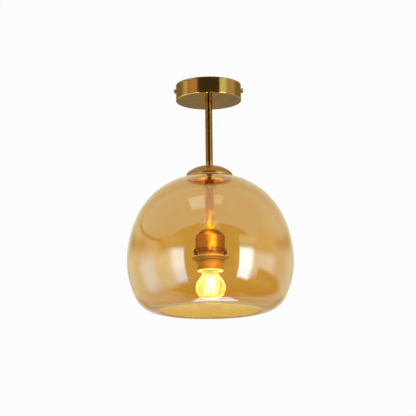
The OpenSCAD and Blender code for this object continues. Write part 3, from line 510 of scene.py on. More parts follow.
# outlines: points are (radius, height) in millimetres
def arcPath(centre, radius, start, end, steps):
    angles = [radians(start + (end - start) * i / steps) for i in range(steps + 1)]
    return [(centre[0] + radius * cos(a), centre[1] + radius * sin(a)) for a in angles]


def roundPath(corners, steps=7, closed=True):
    # each corner is (radius, height, rounding)
    path, count = [], len(corners)
    for i, (x, y, rounding) in enumerate(corners):
        if not rounding or (not closed and i in (0, count - 1)):
            path.append((x, y))
            continue
        at = Vector((x, y))
        u = (Vector(corners[i - 1][:2]) - at).normalized()
        v = (Vector(corners[(i + 1) % count][:2]) - at).normalized()
        half = acos(max(-1, min(1, u.dot(v)))) / 2
        centre = at + (u + v).normalized() * rounding / sin(half)
        first, last = at + u * rounding / tan(half) - centre, at + v * rounding / tan(half) - centre
        start, end = degrees(atan2(first.y, first.x)), degrees(atan2(last.y, last.x))
        sweep = (end - start + 180) % 360 - 180
        path += arcPath(centre, rounding, start, start + sweep, steps)
    return path


def shiftPath(path, offset):
    # moves an open outline sideways by offset, to its left as it runs
    normals = []
    for a, b in zip(path, path[1:]):
        run = (Vector(b) - Vector(a)).normalized()
        normals.append(Vector((-run.y, run.x)))
    moved = []
    for i, point in enumerate(path):
        a, b = normals[max(i - 1, 0)], normals[min(i, len(normals) - 1)]
        m = (a + b).normalized()
        moved.append(tuple(Vector(point) + m * offset / m.dot(a)))
    return moved


def finePath(path, top, bottom, step, closed=True):
    # adds points between top and bottom so that a thread has rows to follow
    fine, ends = [], path[1:] + (path[:1] if closed else [])
    for a, b in zip(path, ends):
        fine.append(a)
        if max(a[1], b[1]) <= bottom or min(a[1], b[1]) >= top or abs(a[1] - b[1]) < step:
            continue
        count, run, rise = ceil(abs(a[1] - b[1]) / step), b[0] - a[0], b[1] - a[1]
        fine += [(a[0] + run * i / count, a[1] + rise * i / count) for i in range(1, count)]
    return fine if closed else fine + [path[-1]]


def fade(height, top, bottom, run):
    return max(0.0, min(1.0, (top - height) / run, (height - bottom) / run))


def heading(x, y):
    return degrees(atan2(y, x))


# Geometry Nodes: one tree turns an outline round the z axis
def newTree(name, inputs):
    tree = bpy.data.node_groups.new(name, "GeometryNodeTree")
    for label, kind, value in [("Geometry", "Geometry", None)] + inputs:
        socket = tree.interface.new_socket(label, in_out="INPUT", socket_type="NodeSocket" + kind)
        if value is not None:
            socket.default_value = value
    tree.interface.new_socket("Geometry", in_out="OUTPUT", socket_type="NodeSocketGeometry")
    return tree, addNode(tree, "NodeGroupInput").outputs


def finishTree(tree, geometry, material):
    smooth = addNode(tree, "GeometryNodeSetShadeSmooth", {"Geometry": geometry})
    real = addNode(tree, "GeometryNodeRealizeInstances", {"Geometry": smooth.outputs[0]})
    dressed = addNode(tree, "GeometryNodeSetMaterial", {"Geometry": real.outputs[0], "Material": material})
    addNode(tree, "NodeGroupOutput", {0: dressed.outputs[0]})


def sampled(geometry, value, index, kind="FLOAT"):
    node = addNode(geometry.id_data, "GeometryNodeSampleIndex", data_type=kind)
    setInputs(node, {"Geometry": geometry, "Value": value, "Index": index})
    return node.outputs[0]


def halfWave(angle):
    # runs from zero up to one and back in each turn
    return maths("MULTIPLY_ADD", maths("COSINE", angle), -0.5, 0.5)


def buildTurningTree():
    tree, given = newTree("turnedPiece", [
        ("Outline", "Object", None), ("Points", "Int", 10), ("Segments", "Int", 96),
        ("Thread Pitch", "Float", 0.001), ("Knurls", "Float", 0.0), ("Flats", "Float", 0.0),
        ("Across Flats", "Float", 1.0), ("Waviness", "Float", 0.0), ("Wave Scale", "Float", 12.0),
        ("Material", "Material", None)])
    # a grid with a row for each point of the outline and a column for each step round
    columns = plus(given["Segments"], 1.0)
    grid = addNode(tree, "GeometryNodeMeshGrid", {"Vertices X": given["Points"], "Vertices Y": columns})
    index = addNode(tree, "GeometryNodeInputIndex").outputs[0]
    row = maths("FLOOR", over(plus(index, 0.5), columns))
    share = over(minus(index, times(row, columns)), given["Segments"])
    angle = times(share, 2 * pi)
    source = addNode(tree, "GeometryNodeObjectInfo", {0: given["Outline"]}, transform_space="ORIGINAL")
    outline = source.outputs["Geometry"]
    place = addNode(tree, "GeometryNodeInputPosition").outputs[0]
    radius, _, height = separate(sampled(outline, place, row, "FLOAT_VECTOR"))
    depths = {}
    for label in ("thread", "knurl", "flat"):
        named = addNode(tree, "GeometryNodeInputNamedAttribute", {"Name": label}, data_type="FLOAT")
        depths[label] = sampled(outline, named.outputs[0], row)
    # threads, knurls and flats are cut into the radius
    phase = minus(over(height, given["Thread Pitch"]), share)
    radius = minus(radius, times(halfWave(times(phase, 2 * pi)), depths["thread"]))
    radius = minus(radius, times(halfWave(times(angle, given["Knurls"])), depths["knurl"]))
    side = over(2 * pi, maths("MAXIMUM", given["Flats"], 1.0))
    fromMiddle = minus(maths("FLOORED_MODULO", angle, side), times(side, 0.5))
    flat = over(times(given["Across Flats"], 0.5), maths("MAXIMUM", maths("COSINE", fromMiddle), 0.1))
    cutAway = maths("MAXIMUM", minus(radius, flat), 0.0)
    radius = minus(radius, times(cutAway, depths["flat"]))
    # hand-blown or dropped pieces sway a little
    across, along = maths("COSINE", angle), maths("SINE", angle)
    wave = noise(combine(across, along, times(height, 8.0)), given["Wave Scale"], 1.0)
    sway = times(minus(wave, 0.5), given["Waviness"])
    radius = plus(radius, times(sway, maths("MULTIPLY", radius, 8.0, clamp=True)))
    place = combine(times(radius, across), times(radius, along), height)
    inputs = {"Geometry": grid.outputs["Mesh"], "Position": place}
    moved = addNode(tree, "GeometryNodeSetPosition", inputs).outputs[0]
    inputs = {"Geometry": moved, "Distance": tiny["seam"]}
    finishTree(tree, addNode(tree, "GeometryNodeMergeByDistance", inputs).outputs[0], given["Material"])
    return tree


def buildRodTree():
    # smooth rods along the edges of a guide, round in section
    tree, given = newTree("roundRods", [
        ("Radius", "Float", 0.001), ("Sides", "Int", 16), ("Copies", "Int", 1),
        ("Material", "Material", None)])
    curve = addNode(tree, "GeometryNodeMeshToCurve", {0: given["Geometry"]}).outputs[0]
    inputs = {"Resolution": given["Sides"], "Radius": given["Radius"]}
    circle = addNode(tree, "GeometryNodeCurvePrimitiveCircle", inputs).outputs[0]
    inputs = {"Curve": curve, "Profile Curve": circle, "Fill Caps": True}
    rod = addNode(tree, "GeometryNodeCurveToMesh", inputs).outputs[0]
    line = addNode(tree, "GeometryNodeMeshLine", {"Count": given["Copies"], "Offset": (0, 0, 0)}).outputs[0]
    index = addNode(tree, "GeometryNodeInputIndex").outputs[0]
    share = over(plus(index, 0.5), given["Copies"])
    spin = combine(0, 0, times(share, 2 * pi))
    inputs = {"Points": line, "Instance": rod, "Rotation": spin}
    spread = addNode(tree, "GeometryNodeInstanceOnPoints", inputs).outputs[0]
    finishTree(tree, spread, given["Material"])
    return tree


turningTree, rodTree = buildTurningTree(), buildRodTree()


def evaluated(thing, name):
    # a plain mesh of an object as its modifiers leave it
    bpy.context.view_layer.update()
    mesh = bpy.data.meshes.new_from_object(thing.evaluated_get(bpy.context.evaluated_depsgraph_get()))
    mesh.name = name
    return mesh


def runTree(name, tree, inputs, source=None):
    # runs a tree on an object and returns the result as a plain mesh piece
    carrier = addObject(name + "Carrier", source or bpy.data.meshes.new(name))
    modifier = carrier.modifiers.new("tree", "NODES")
    modifier.node_group = tree
    for item in tree.interface.items_tree:
        if item.in_out == "INPUT" and item.name in inputs:
            modifier[item.identifier] = inputs[item.name]
    mesh = evaluated(carrier, name)
    bpy.data.objects.remove(carrier)
    return addObject(name, mesh)


def faceOutwards(mesh):
    work = bmesh.new()
    work.from_mesh(mesh)
    if any(face.calc_area() < tiny["face"] for face in work.faces):
        bmesh.ops.dissolve_degenerate(work, dist=tiny["edge"], edges=work.edges)
    if work.calc_volume(signed=True) < 0:
        bmesh.ops.reverse_faces(work, faces=work.faces)
    work.to_mesh(mesh)
    work.free()


def sharpen(piece, angle=32):
    piece.data.set_sharp_from_angle(angle=radians(angle))


def turned(name, outline, material, segments=96, thread=None, knurl=None, flat=None, pitch=1.0, knurls=0,
           flats=0, across=1.0, waviness=0.0, waveScale=2.5, move=None, angle=32):
    # outline points in mm; thread, knurl and flat are functions of (radius, height) that give a depth in mm
    area = sum(a[0] * b[1] - b[0] * a[1] for a, b in zip(outline, outline[1:] + outline[:1]))
    if area > 0:
        outline = outline[::-1]
    if max(outline[0][0], outline[-1][0]) > tiny["radius"]:
        outline = outline + outline[:1]
    mesh = bpy.data.meshes.new(name + "Outline")
    points = [(r * mm, 0, z * mm) for r, z in outline]
    mesh.from_pydata(points, [(i, i + 1) for i in range(len(outline) - 1)], [])
    for label, rule, scale in (("thread", thread, mm), ("knurl", knurl, mm), ("flat", flat, 1.0)):
        depths = [rule(r, z) * scale if rule else 0.0 for r, z in outline]
        mesh.attributes.new(label, "FLOAT", "POINT").data.foreach_set("value", depths)
    guide = addObject(name + "Outline", mesh)
    piece = runTree(name, turningTree, {
        "Outline": guide, "Points": len(outline), "Segments": segments, "Thread Pitch": pitch * mm,
        "Knurls": float(knurls), "Flats": float(flats), "Across Flats": across * mm,
        "Waviness": waviness * mm, "Wave Scale": waveScale, "Material": material})
    bpy.data.objects.remove(guide)
    if move is not None:
        piece.data.transform(move)
    faceOutwards(piece.data)
    sharpen(piece, angle)
    return piece


def carve(piece, cutter):
    # cuts the cutter out of the piece and keeps the result as its plain mesh
    modifier = piece.modifiers.new("carve", "BOOLEAN")
    modifier.operation, modifier.solver, modifier.object = "DIFFERENCE", "EXACT", cutter
    old, mesh = piece.data, evaluated(piece, piece.name)
    piece.modifiers.clear()
    piece.data = mesh
    bpy.data.meshes.remove(old)
    bpy.data.objects.remove(cutter)
    mesh.shade_smooth()
    sharpen(piece)


def drill(name, radius, length, spots, sides=32):
    # one cutter object with a round bar for each spot: (centre, direction)
    work = bmesh.new()
    for centre, direction in spots:
        turn = Vector(direction).to_track_quat("Z", "Y").to_matrix().to_4x4()
        bmesh.ops.create_cone(work, cap_ends=True, segments=sides, radius1=radius * mm, radius2=radius * mm,
                              depth=length * mm, matrix=Matrix.Translation(Vector(centre) * mm) @ turn)
    mesh = bpy.data.meshes.new(name)
    work.to_mesh(mesh)
    work.free()
    return addObject(name, mesh)


brokenEdge = {"flatWithin": 0.5, "steps": 2, "sharperThan": 35}


def softened(name, node, material, width):
    # a copy of a CAD node with broken edges
    mesh = nodes[node].data.copy()
    work = bmesh.new()
    work.from_mesh(mesh)
    bmesh.ops.remove_doubles(work, verts=work.verts, dist=tiny["doubles"])
    bmesh.ops.dissolve_limit(work, angle_limit=radians(brokenEdge["flatWithin"]), verts=work.verts,
                             edges=work.edges)
    work.to_mesh(mesh)
    work.free()
    mesh.materials.clear()
    carrier = addObject(name + "Carrier", mesh)
    bevel = carrier.modifiers.new("edges", "BEVEL")
    bevel.width, bevel.segments = width * mm, brokenEdge["steps"]
    bevel.limit_method, bevel.angle_limit = "ANGLE", radians(brokenEdge["sharperThan"])
    bevel.use_clamp_overlap = True
    result = evaluated(carrier, name)
    bpy.data.objects.remove(carrier)
    result.materials.append(material)
    for polygon in result.polygons:
        polygon.material_index = 0
    result.shade_smooth()
    piece = addObject(name, result)
    sharpen(piece)
    return piece


def rods(name, paths, radius, material, sides=16, copies=1):
    # round bars along paths in mm
    points, edges = [], []
    for path in paths:
        edges += [(len(points) + i, len(points) + i + 1) for i in range(len(path) - 1)]
        points += [tuple(Vector(p) * mm) for p in path]
    guide = bpy.data.meshes.new(name + "Guide")
    guide.from_pydata(points, edges, [])
    inputs = {"Radius": radius * mm, "Sides": sides, "Copies": copies, "Material": material}
    piece = runTree(name, rodTree, inputs, guide)
    faceOutwards(piece.data)
    sharpen(piece, 40)
    return piece


def smoothPath(points, rounds=3):
    # cuts the corners of a path again and again, and keeps its ends
    for _ in range(rounds):
        cut = [points[0]]
        for a, b in zip(points, points[1:]):
            a, b = Vector(a), Vector(b)
            cut += [tuple(a * 0.75 + b * 0.25), tuple(a * 0.25 + b * 0.75)]
        points = cut + [points[-1]]
    return points


def joined(name, parts):
    # joins loose pieces into one mesh
    work = bmesh.new()
    for part in parts:
        work.from_mesh(part.data)
    mesh = bpy.data.meshes.new(name)
    work.to_mesh(mesh)
    work.free()
    for material in parts[0].data.materials:
        mesh.materials.append(material)
    for part in parts:
        bpy.data.objects.remove(part)
    return addObject(name, mesh)


def fit(piece, node, body="lamp"):
    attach(piece, body)
    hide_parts(node)


print("tools ready")

# levels down the lamp, in millimetres below the ceiling
level = {"canopyFloor": -25.3, "capTop": -128.5, "capRim": -145.9, "spacerTop": -129.5, "washerTop": -140.15,
         "gasketTop": -142.15, "shadeTop": -143.65, "landUnder": -146.05, "discTop": -147.55,
         "clampTop": -148.75, "stemTop": -160.75, "cupTop": -227.35, "holderTop": -228.35, "bossEnd": -234.85,
         "coreTop": -240.85, "shellTop": -257.75, "coverEnd": -261.35, "tipTop": -261.55,
         "bulbCapTop": -265.55, "ringTop": -268.35, "neckTop": -284.35, "flareTop": -284.95,
         "capEnd": -288.35, "skirtEnd": -288.75, "mountEnd": -299.35, "globe": -315.25}
bores = {"nippleHole": 4.25, "nippleThread": 4.05, "nipple": 2.8}
nippleHole, nippleThread = bores["nippleHole"], bores["nippleThread"]

# glass shade: four arcs that run into each other
shade = {"diameter": 250.4, "crown": 129.8, "bowl": 76.4, "mouth": 148.8, "wall": 2.4, "shoulder": 156.5,
         "flank": 123.6, "curl": 37.2, "land": 12.5, "hole": 14.0, "segments": 288, "waviness": 0.28,
         "waveScale": 1.6, "crownSteps": 44, "shoulderSteps": 22, "flankSteps": 16, "curlSteps": 26}


def shadeOutline():
    half, wall, crown, curl = shade["diameter"] / 2, shade["wall"], shade["crown"], shade["curl"]
    shoulderX, land = half - shade["shoulder"], shade["land"]
    crownX = shoulderX - land
    crownR = (shade["shoulder"] ** 2 - crownX ** 2 - crown ** 2) / (2 * (shade["shoulder"] - crown))
    crownC = (land, crown - crownR)
    turnA = heading(crownC[0] - shoulderX, crownC[1])
    flankX, curlY = half - shade["flank"], shade["bowl"] - curl
    curlC = (flankX + sqrt((shade["flank"] - curl) ** 2 - curlY ** 2), -curlY)
    flankA = heading(curlC[0] - flankX, curlC[1])
    lipR = curl - wall / 2
    mouthA = -degrees(acos((shade["mouth"] / 2 + wall / 2 - curlC[0]) / lipR))
    lipC = (curlC[0] + lipR * cos(radians(mouthA)), curlC[1] + lipR * sin(radians(mouthA)))
    outer = [(shade["hole"] / 2, crown)] + arcPath(crownC, crownR, 90, turnA, shade["crownSteps"])
    outer += arcPath((shoulderX, 0), shade["shoulder"], turnA * 0.955, 0, shade["shoulderSteps"])
    steps = shade["flankSteps"]
    outer += arcPath((flankX, 0), shade["flank"], flankA / steps, flankA, steps - 1)
    steps = shade["curlSteps"]
    outer += arcPath(curlC, curl, flankA + (mouthA - flankA) / steps, mouthA, steps - 1)
    lip = arcPath(lipC, wall / 2, mouthA - 20, mouthA - 160, 7)
    belly = level["shadeTop"] - crown
    return [(r, z + belly) for r, z in outer + lip + shiftPath(outer, -wall)[::-1]]


glassShade = turned("glassShade", shadeOutline(), amberGlass, segments=shade["segments"],
                    waviness=shade["waviness"], waveScale=shade["waveScale"], angle=50)
fit(glassShade, "glass_shade")
print("glass shade blown:", len(glassShade.data.polygons))

# canopy and its fixings
canopy = {"radius": 50.0, "wall": 1.0, "edge": 1.3, "rimGap": 0.3, "screwDrop": 9.3, "screwHole": 4.5,
          "holeCentre": 49.5, "drillLength": 6, "rowStep": 3.0}


def canopyOutline():
    floor, radius, wall = level["canopyFloor"], canopy["radius"], canopy["wall"]
    rimTop, half = -canopy["rimGap"], wall / 2
    path = roundPath([(nippleHole, floor, 0), (radius, floor, canopy["edge"]), (radius, rimTop, 0)],
                     steps=14, closed=False)
    rim = [(radius, rimTop - half)] + arcPath((radius - half, rimTop - half), half, 15, 165, 6)
    rim += [(radius - wall, rimTop - half)]
    whole = path[:-1] + rim + shiftPath(path, wall)[:-1][::-1]
    return finePath(whole, 0, -22, canopy["rowStep"])


canopyPiece = turned("canopyShell", canopyOutline(), satinBrass, segments=192)
holes = [((side * canopy["holeCentre"], 0, -canopy["screwDrop"]), (1, 0, 0)) for side in (-1, 1)]
carve(canopyPiece, drill("sideHoles", canopy["screwHole"] / 2, canopy["drillLength"], holes))
fit(canopyPiece, "canopy")

sideScrew = {"knob": 3.8, "height": 2.4, "shank": 2.0, "face": 50.9, "reach": 7.43, "pitch": 0.7,
             "threadDepth": 0.34, "threadRows": 70, "knurls": 40, "knurlDepth": 0.22}
knobWasher = {"bore": 2.05, "radius": 4.0, "thickness": 0.6, "face": 50.3}


def alongSide(side, face):
    # turns a piece from the z axis to the side wall of the canopy
    place = Matrix.Translation((side * face * mm, 0, -canopy["screwDrop"] * mm))
    return place @ Matrix.Rotation(side * pi / 2, 4, "Y")


def sideScrewOutline():
    knob, tall, shank, reach = (sideScrew[key] for key in ("knob", "height", "shank", "reach"))
    rows, threadEnd = sideScrew["threadRows"], -reach + 0.55
    path = [(0, -reach), (shank - 0.5, -reach), (shank, threadEnd)]
    path += [(shank, threadEnd + (reach - 1.35) * i / rows) for i in range(1, rows + 1)]
    path += [(shank - 0.25, -0.5), (shank - 0.25, -0.15), (shank, 0), (knob - 0.35, 0), (knob, 0.35),
             (knob, 0.6), (knob, tall - 1.15), (knob - 0.12, tall - 0.85)]
    path += arcPath((knob - 1.0, tall - 0.9), 0.88, 0, 78, 6)
    return path + [(knob - 1.6, tall - 0.02), (knob - 1.9, tall - 0.14), (1.5, tall - 0.14),
                   (1.3, tall - 0.03), (0, tall)]


def screwThread(r, z):
    onShank = r > 1.3 and z < -0.4
    return sideScrew["threadDepth"] * fade(z, -0.8, -sideScrew["reach"] + 0.3, 0.5) if onShank else 0


def knobKnurl(r, z):
    onRim = r > sideScrew["knob"] - 0.02 and 0.5 < z < sideScrew["height"] - 1.0
    return sideScrew["knurlDepth"] if onRim else 0


def washerOutline():
    bore, radius, thickness = knobWasher["bore"], knobWasher["radius"], knobWasher["thickness"]
    return roundPath([(bore, 0, 0.1), (radius, 0, 0.12), (radius, thickness, 0.22), (bore, thickness, 0.15)],
                     steps=4)


for sideName, side, material in (("left", -1, screwBrassLeft), ("right", 1, screwBrassRight)):
    screw = turned(sideName + "SideScrew", sideScrewOutline(), material, segments=160,
                   pitch=sideScrew["pitch"], knurls=sideScrew["knurls"], thread=screwThread,
                   knurl=knobKnurl, move=alongSide(side, sideScrew["face"]))
    fit(screw, "side_screw_" + sideName, sideName + "_screw")
    washer = turned(sideName + "KnobWasher", washerOutline(), material, segments=64,
                    move=alongSide(side, knobWasher["face"]))
    fit(washer, "knob_washer_" + sideName, sideName + "_washer")
print("canopy and side screws turned")

# stems, nipples, nuts and washers
stem = {"radius": 5.5, "chamfer": 0.35, "mouthRound": 0.2, "rowStep": 12}


def tubeOutline(top, bottom, outer, bore, chamfer=0.3):
    mouth = stem["mouthRound"]
    return roundPath([(bore, top, mouth), (outer, top, chamfer), (outer, bottom, chamfer),
                      (bore, bottom, mouth)], steps=3)


for name, node, top, bottom, finish in (
        ("upperStem", "upper_stem", level["canopyFloor"], level["capTop"], stemBrass),
        ("lowerStem", "lower_stem", level["stemTop"], level["cupTop"], innerBrass)):
    path = finePath(tubeOutline(top, bottom, stem["radius"], nippleThread, stem["chamfer"]), top, bottom,
                    stem["rowStep"])
    fit(turned(name, path, finish, segments=128), node)

nipple = {"radius": 4.0, "chamfer": 0.4, "pitch": 1.0, "depth": 0.5, "rowStep": 0.16, "overlap": 10,
          "topFrom": -17.1, "topTo": -35.3}


def buildNipple(name, node, top, bottom):
    def thread(r, z):
        return nipple["depth"] * fade(z, top - 0.3, bottom + 0.3, 0.5) if r > 3.5 else 0

    path = tubeOutline(top, bottom, nipple["radius"], bores["nipple"], nipple["chamfer"])
    path = finePath(path, top, bottom, nipple["rowStep"])
    fit(turned(name, path, zincSteel, segments=48, pitch=nipple["pitch"], thread=thread), node)


overlap = nipple["overlap"]
buildNipple("topNipple", "top_nipple", nipple["topFrom"], nipple["topTo"])
buildNipple("middleNipple", "middle_nipple", level["capTop"] + overlap, level["stemTop"] - overlap)
buildNipple("bottomNipple", "bottom_nipple", level["cupTop"] + overlap, level["bossEnd"])

canopyNut = {"top": -19.5, "height": 4.0, "across": 12.99, "corner": 7.5, "face": 6.1, "drop": 0.75}


def nutOutline():
    top, corner, drop, face = canopyNut["top"], canopyNut["corner"], canopyNut["drop"], canopyNut["face"]
    bottom, mouth = top - canopyNut["height"], nippleThread + 0.35
    return [(nippleThread, top - 0.3), (mouth, top), (face, top), (corner, top - drop),
            (corner, bottom + drop), (face, bottom), (mouth, bottom), (nippleThread, bottom + 0.3)]


fit(turned("canopyNut", nutOutline(), plainBrass, segments=96, flats=6, across=canopyNut["across"],
           flat=lambda r, z: 1.0 if r > 5.9 else 0.0), "canopy_nut")

washers = {"spacer": 6.5, "clamp": 18}
gasket = {"radius": 12, "collar": 6.75}
bush = {"top": -16.3, "flangeEnd": -17.1, "end": -22.1, "bore": 2.35, "flange": 4.0, "body": 2.75}
gasketTop, shadeTop, gasketEnd = level["gasketTop"], level["shadeTop"], level["landUnder"] + 0.4
upperGasketPath = roundPath([(nippleHole, gasketTop, 0.2), (gasket["radius"], gasketTop, 0.35),
                             (gasket["radius"], shadeTop, 0.3), (gasket["collar"], shadeTop, 0),
                             (gasket["collar"], gasketEnd, 0.2), (nippleHole, gasketEnd, 0.2)], steps=3)
bushPath = roundPath([(bush["bore"], bush["top"], 0.3), (bush["flange"], bush["top"], 0.3),
                      (bush["flange"], bush["flangeEnd"], 0), (bush["body"], bush["flangeEnd"], 0),
                      (bush["body"], bush["end"], 0.1), (bush["bore"], bush["end"], 0.1)], steps=4)
for name, node, slot, material, outline in (
        ("capSpacer", "cap_spacer", "zinc_steel", zincSteel,
         tubeOutline(level["spacerTop"], level["washerTop"], washers["spacer"], nippleHole)),
        ("clampWasher", "clamp_washer", "zinc_steel", zincSteel,
         tubeOutline(level["washerTop"], gasketTop, washers["clamp"], nippleHole, 0.5)),
        ("lowerGasket", "lower_gasket", "gasket_rubber", gasketRubber,
         tubeOutline(level["landUnder"], level["discTop"], gasket["radius"], nippleHole, 0.35)),
        ("upperGasket", "upper_gasket", "gasket_rubber", gasketRubber, upperGasketPath),
        ("nippleBush", "nipple_bush", "ivory_plastic", ivoryPlastic, bushPath)):
    fit(turned(name, outline, material), node)
print("stems, nipples and washers turned")

# domed cap, dished disc and clamp nut that hold the glass
cap = {"radius": 35.3, "edge": 6.7, "skirt": 2.8, "wall": 1.0, "seat": 7.0}


def rimRound(radius, end, wall, steps=8):
    # the half round at the lower end of a drawn wall
    return arcPath((radius - wall / 2, end + wall / 2), wall / 2, 0, -180, steps)


def capOutline():
    radius, edge, seat = cap["radius"], cap["edge"], cap["seat"]
    capTop, rim = level["capTop"], level["capRim"]
    edgeC = (radius - edge, rim + cap["skirt"])
    rise, reach = capTop - edgeC[1], edgeC[0] - seat
    domeR = (reach ** 2 + rise ** 2 - edge ** 2) / (2 * (rise - edge))
    domeC = (seat, capTop - domeR)
    edgeA = heading(edgeC[0] - domeC[0], edgeC[1] - domeC[1])
    path = [(nippleHole, capTop)] + arcPath(domeC, domeR, 90, edgeA, 26)
    path += arcPath(edgeC, edge, edgeA - 3, 0, 20)
    inner = shiftPath(path + [(radius, rim)], -cap["wall"])[::-1]
    return path + rimRound(radius, rim, cap["wall"]) + inner[1:]


fit(turned("capDome", capOutline(), capBrass, segments=192), "cap_dome")

disc = {"radius": 23.5, "rise": 0.6, "wall": 1.2, "dish": 14.5, "dishRound": 4}


def discOutline():
    top, wall = level["discTop"], disc["wall"]
    path = roundPath([(nippleHole, top, 0), (disc["dish"], top, disc["dishRound"]),
                      (disc["radius"], top + disc["rise"], 0)], steps=6, closed=False)
    under = shiftPath(path, -wall)[::-1]
    (endX, endY), (underX, underY) = path[-1], under[0]
    edge = arcPath(((endX + underX) / 2, (endY + underY) / 2), wall / 2, 80, -80, 6)
    return (path[:-1] + [(endX - wall / 2, endY - 0.04)] + [(r - wall / 2, z) for r, z in edge]
            + [(underX - wall / 2, underY - 0.04)] + under[1:])


fit(turned("clampDisc", discOutline(), discBrass, segments=128), "clamp_disc")

clampNut = {"collar": 6.8, "flange": 10.3, "flangeHeight": 3.0, "knurls": 60, "knurlDepth": 0.28}
end, top, collar, flange = level["stemTop"], level["clampTop"], clampNut["collar"], clampNut["flange"]
lip = end + clampNut["flangeHeight"]
path = roundPath([(nippleThread, top, 0.2), (collar, top, 0.4), (collar, lip, 0.8), (flange, lip, 0.6),
                  (flange, end, 0.6), (nippleThread, end, 0.2)], steps=6)


def flangeKnurl(r, z):
    return clampNut["knurlDepth"] * fade(z, lip - 0.5, end + 0.5, 0.25) if r > flange - 0.1 else 0


fit(turned("clampNut", finePath(path, lip - 0.6, end + 0.6, 0.3), cupBrass, segments=240,
           knurls=clampNut["knurls"], knurl=flangeKnurl), "clamp_nut")
print("cap and clamp turned")

# socket cup with its vented band
cup = {"top": 12.5, "radius": 22.0, "bevel": 8.4, "body": 28.6, "band": 25.0, "bandHeight": 6.6, "wall": 1.0,
       "corner": 0.5, "vents": 6, "vent": 1.3, "ventCentre": 24.5, "ventTurn": -83, "drillLength": 6}
cupTop, bandTop = level["cupTop"], level["cupTop"] - cup["body"]
bandEnd = bandTop - cup["bandHeight"]
path = roundPath([(nippleHole, cupTop, 0), (cup["top"], cupTop, cup["corner"]),
                  (cup["radius"], cupTop - cup["bevel"], cup["corner"]), (cup["radius"], bandTop, 0.6),
                  (cup["band"], bandTop, 1.3), (cup["band"], bandEnd, 0)], steps=9, closed=False)
under = shiftPath(path, -cup["wall"])[::-1]
path = path[:-1] + rimRound(cup["band"], bandEnd, cup["wall"], 6) + under[1:]
cupPiece = turned("socketCup", path, cupBrass, segments=192)
vents = []
for i in range(cup["vents"]):
    angle = radians(i * 360 / cup["vents"] + cup["ventTurn"])
    centre = (cup["ventCentre"] * cos(angle), cup["ventCentre"] * sin(angle), bandTop - cup["bandHeight"] / 2)
    vents.append((centre, (cos(angle), sin(angle), 0)))
carve(cupPiece, drill("ventHoles", cup["vent"], cup["drillLength"], vents))
fit(cupPiece, "socket_cup")

# lampholder: cover, core, shell, threaded skirt and shade ring
holder = {"radius": 20.0, "wall": 2.0, "threadRadius": 20.3, "threadHeight": 15.0, "nose": 19.6, "core": 16.8,
          "coreBore": 14.0, "boss": 8, "pitch": 2.5, "threadDepth": 0.6, "rowStep": 0.22, "screwHole": 1.55,
          "screwX": 9.5, "drillLength": 18}
cone, boss, outer, inner = cup["top"] - 2, holder["boss"], holder["radius"], holder["radius"] - holder["wall"]
coverEnd, holderTop, bossEnd = level["coverEnd"], level["holderTop"], level["bossEnd"]
bevelEnd, roof = holderTop - cup["bevel"] - 1, holderTop - 3
path = roundPath([(nippleThread, holderTop, 0), (cone, holderTop, 1), (outer, bevelEnd, 2),
                  (outer, coverEnd, 0.4), (inner, coverEnd, 0.3), (inner, bevelEnd - 1, 2), (cone, roof, 0),
                  (boss, roof, 0), (boss, bossEnd, 0.6), (nippleThread, bossEnd, 0)], steps=6)
fit(turned("holderCover", path, holderGold, segments=128), "holder_cover")

core, coreTop, coreEnd = holder["core"], level["coreTop"], level["skirtEnd"] + 2.4
coreBore, shellTop = holder["coreBore"], level["shellTop"]
path = roundPath([(0, coreTop, 0), (core, coreTop, 1), (core, coreEnd, 0.8), (coreBore, coreEnd, 0.8),
                  (coreBore, shellTop, 0.3), (0, shellTop, 0)], steps=5)
corePiece = turned("ceramicCore", path, glazedCeramic)
holes = [((side * holder["screwX"], 0, coreTop + 1), (0, 0, 1)) for side in (-1, 1)]
carve(corePiece, drill("coreHoles", holder["screwHole"], holder["drillLength"], holes, sides=24))
fit(corePiece, "holder_core")

bulbThread = {"pitch": 25.4 / 7, "depth": 0.95}
shell = {"outer": 13.95, "inner": 13.5, "length": 25, "rowStep": 0.4}
shellEnd = shellTop - shell["length"]
path = roundPath([(shell["inner"], shellTop, 0.2), (shell["outer"], shellTop, 0.15),
                  (shell["outer"], shellEnd, 0.15), (shell["inner"], shellEnd, 0.2)], steps=3)
path = finePath(path, shellTop - 2, shellEnd + 0.4, shell["rowStep"])
fit(turned("screwShell", path, plainBrass, segments=120, pitch=bulbThread["pitch"],
           thread=lambda r, z: bulbThread["depth"] * fade(z, shellTop - 3.5, shellEnd + 0.6, 2.0)),
    "screw_shell")

bore, nose, threadR = core + 0.1, holder["nose"], holder["threadRadius"]
collarTop, zoneEnd, skirtEnd = coverEnd + 6, coverEnd - holder["threadHeight"], level["skirtEnd"]
path = roundPath([(bore, collarTop, 0), (inner - 0.05, collarTop, 0.4), (inner - 0.05, coverEnd, 0),
                  (threadR, coverEnd, 0.5), (threadR, zoneEnd, 0.4), (nose, zoneEnd - 0.7, 0),
                  (nose, skirtEnd, 1.0), (bore - 1.4, skirtEnd, 0.8), (bore - 1.4, coreEnd - 0.2, 0.4),
                  (bore, coreEnd - 0.2, 0)], steps=7)


def skirtThread(r, z):
    return holder["threadDepth"] * fade(z, coverEnd - 0.8, zoneEnd + 0.4, 0.8) if r > 19.9 else 0


fit(turned("holderSkirt", finePath(path, coverEnd, zoneEnd, holder["rowStep"]), holderGold, segments=128,
           pitch=holder["pitch"], thread=skirtThread), "holder_skirt")

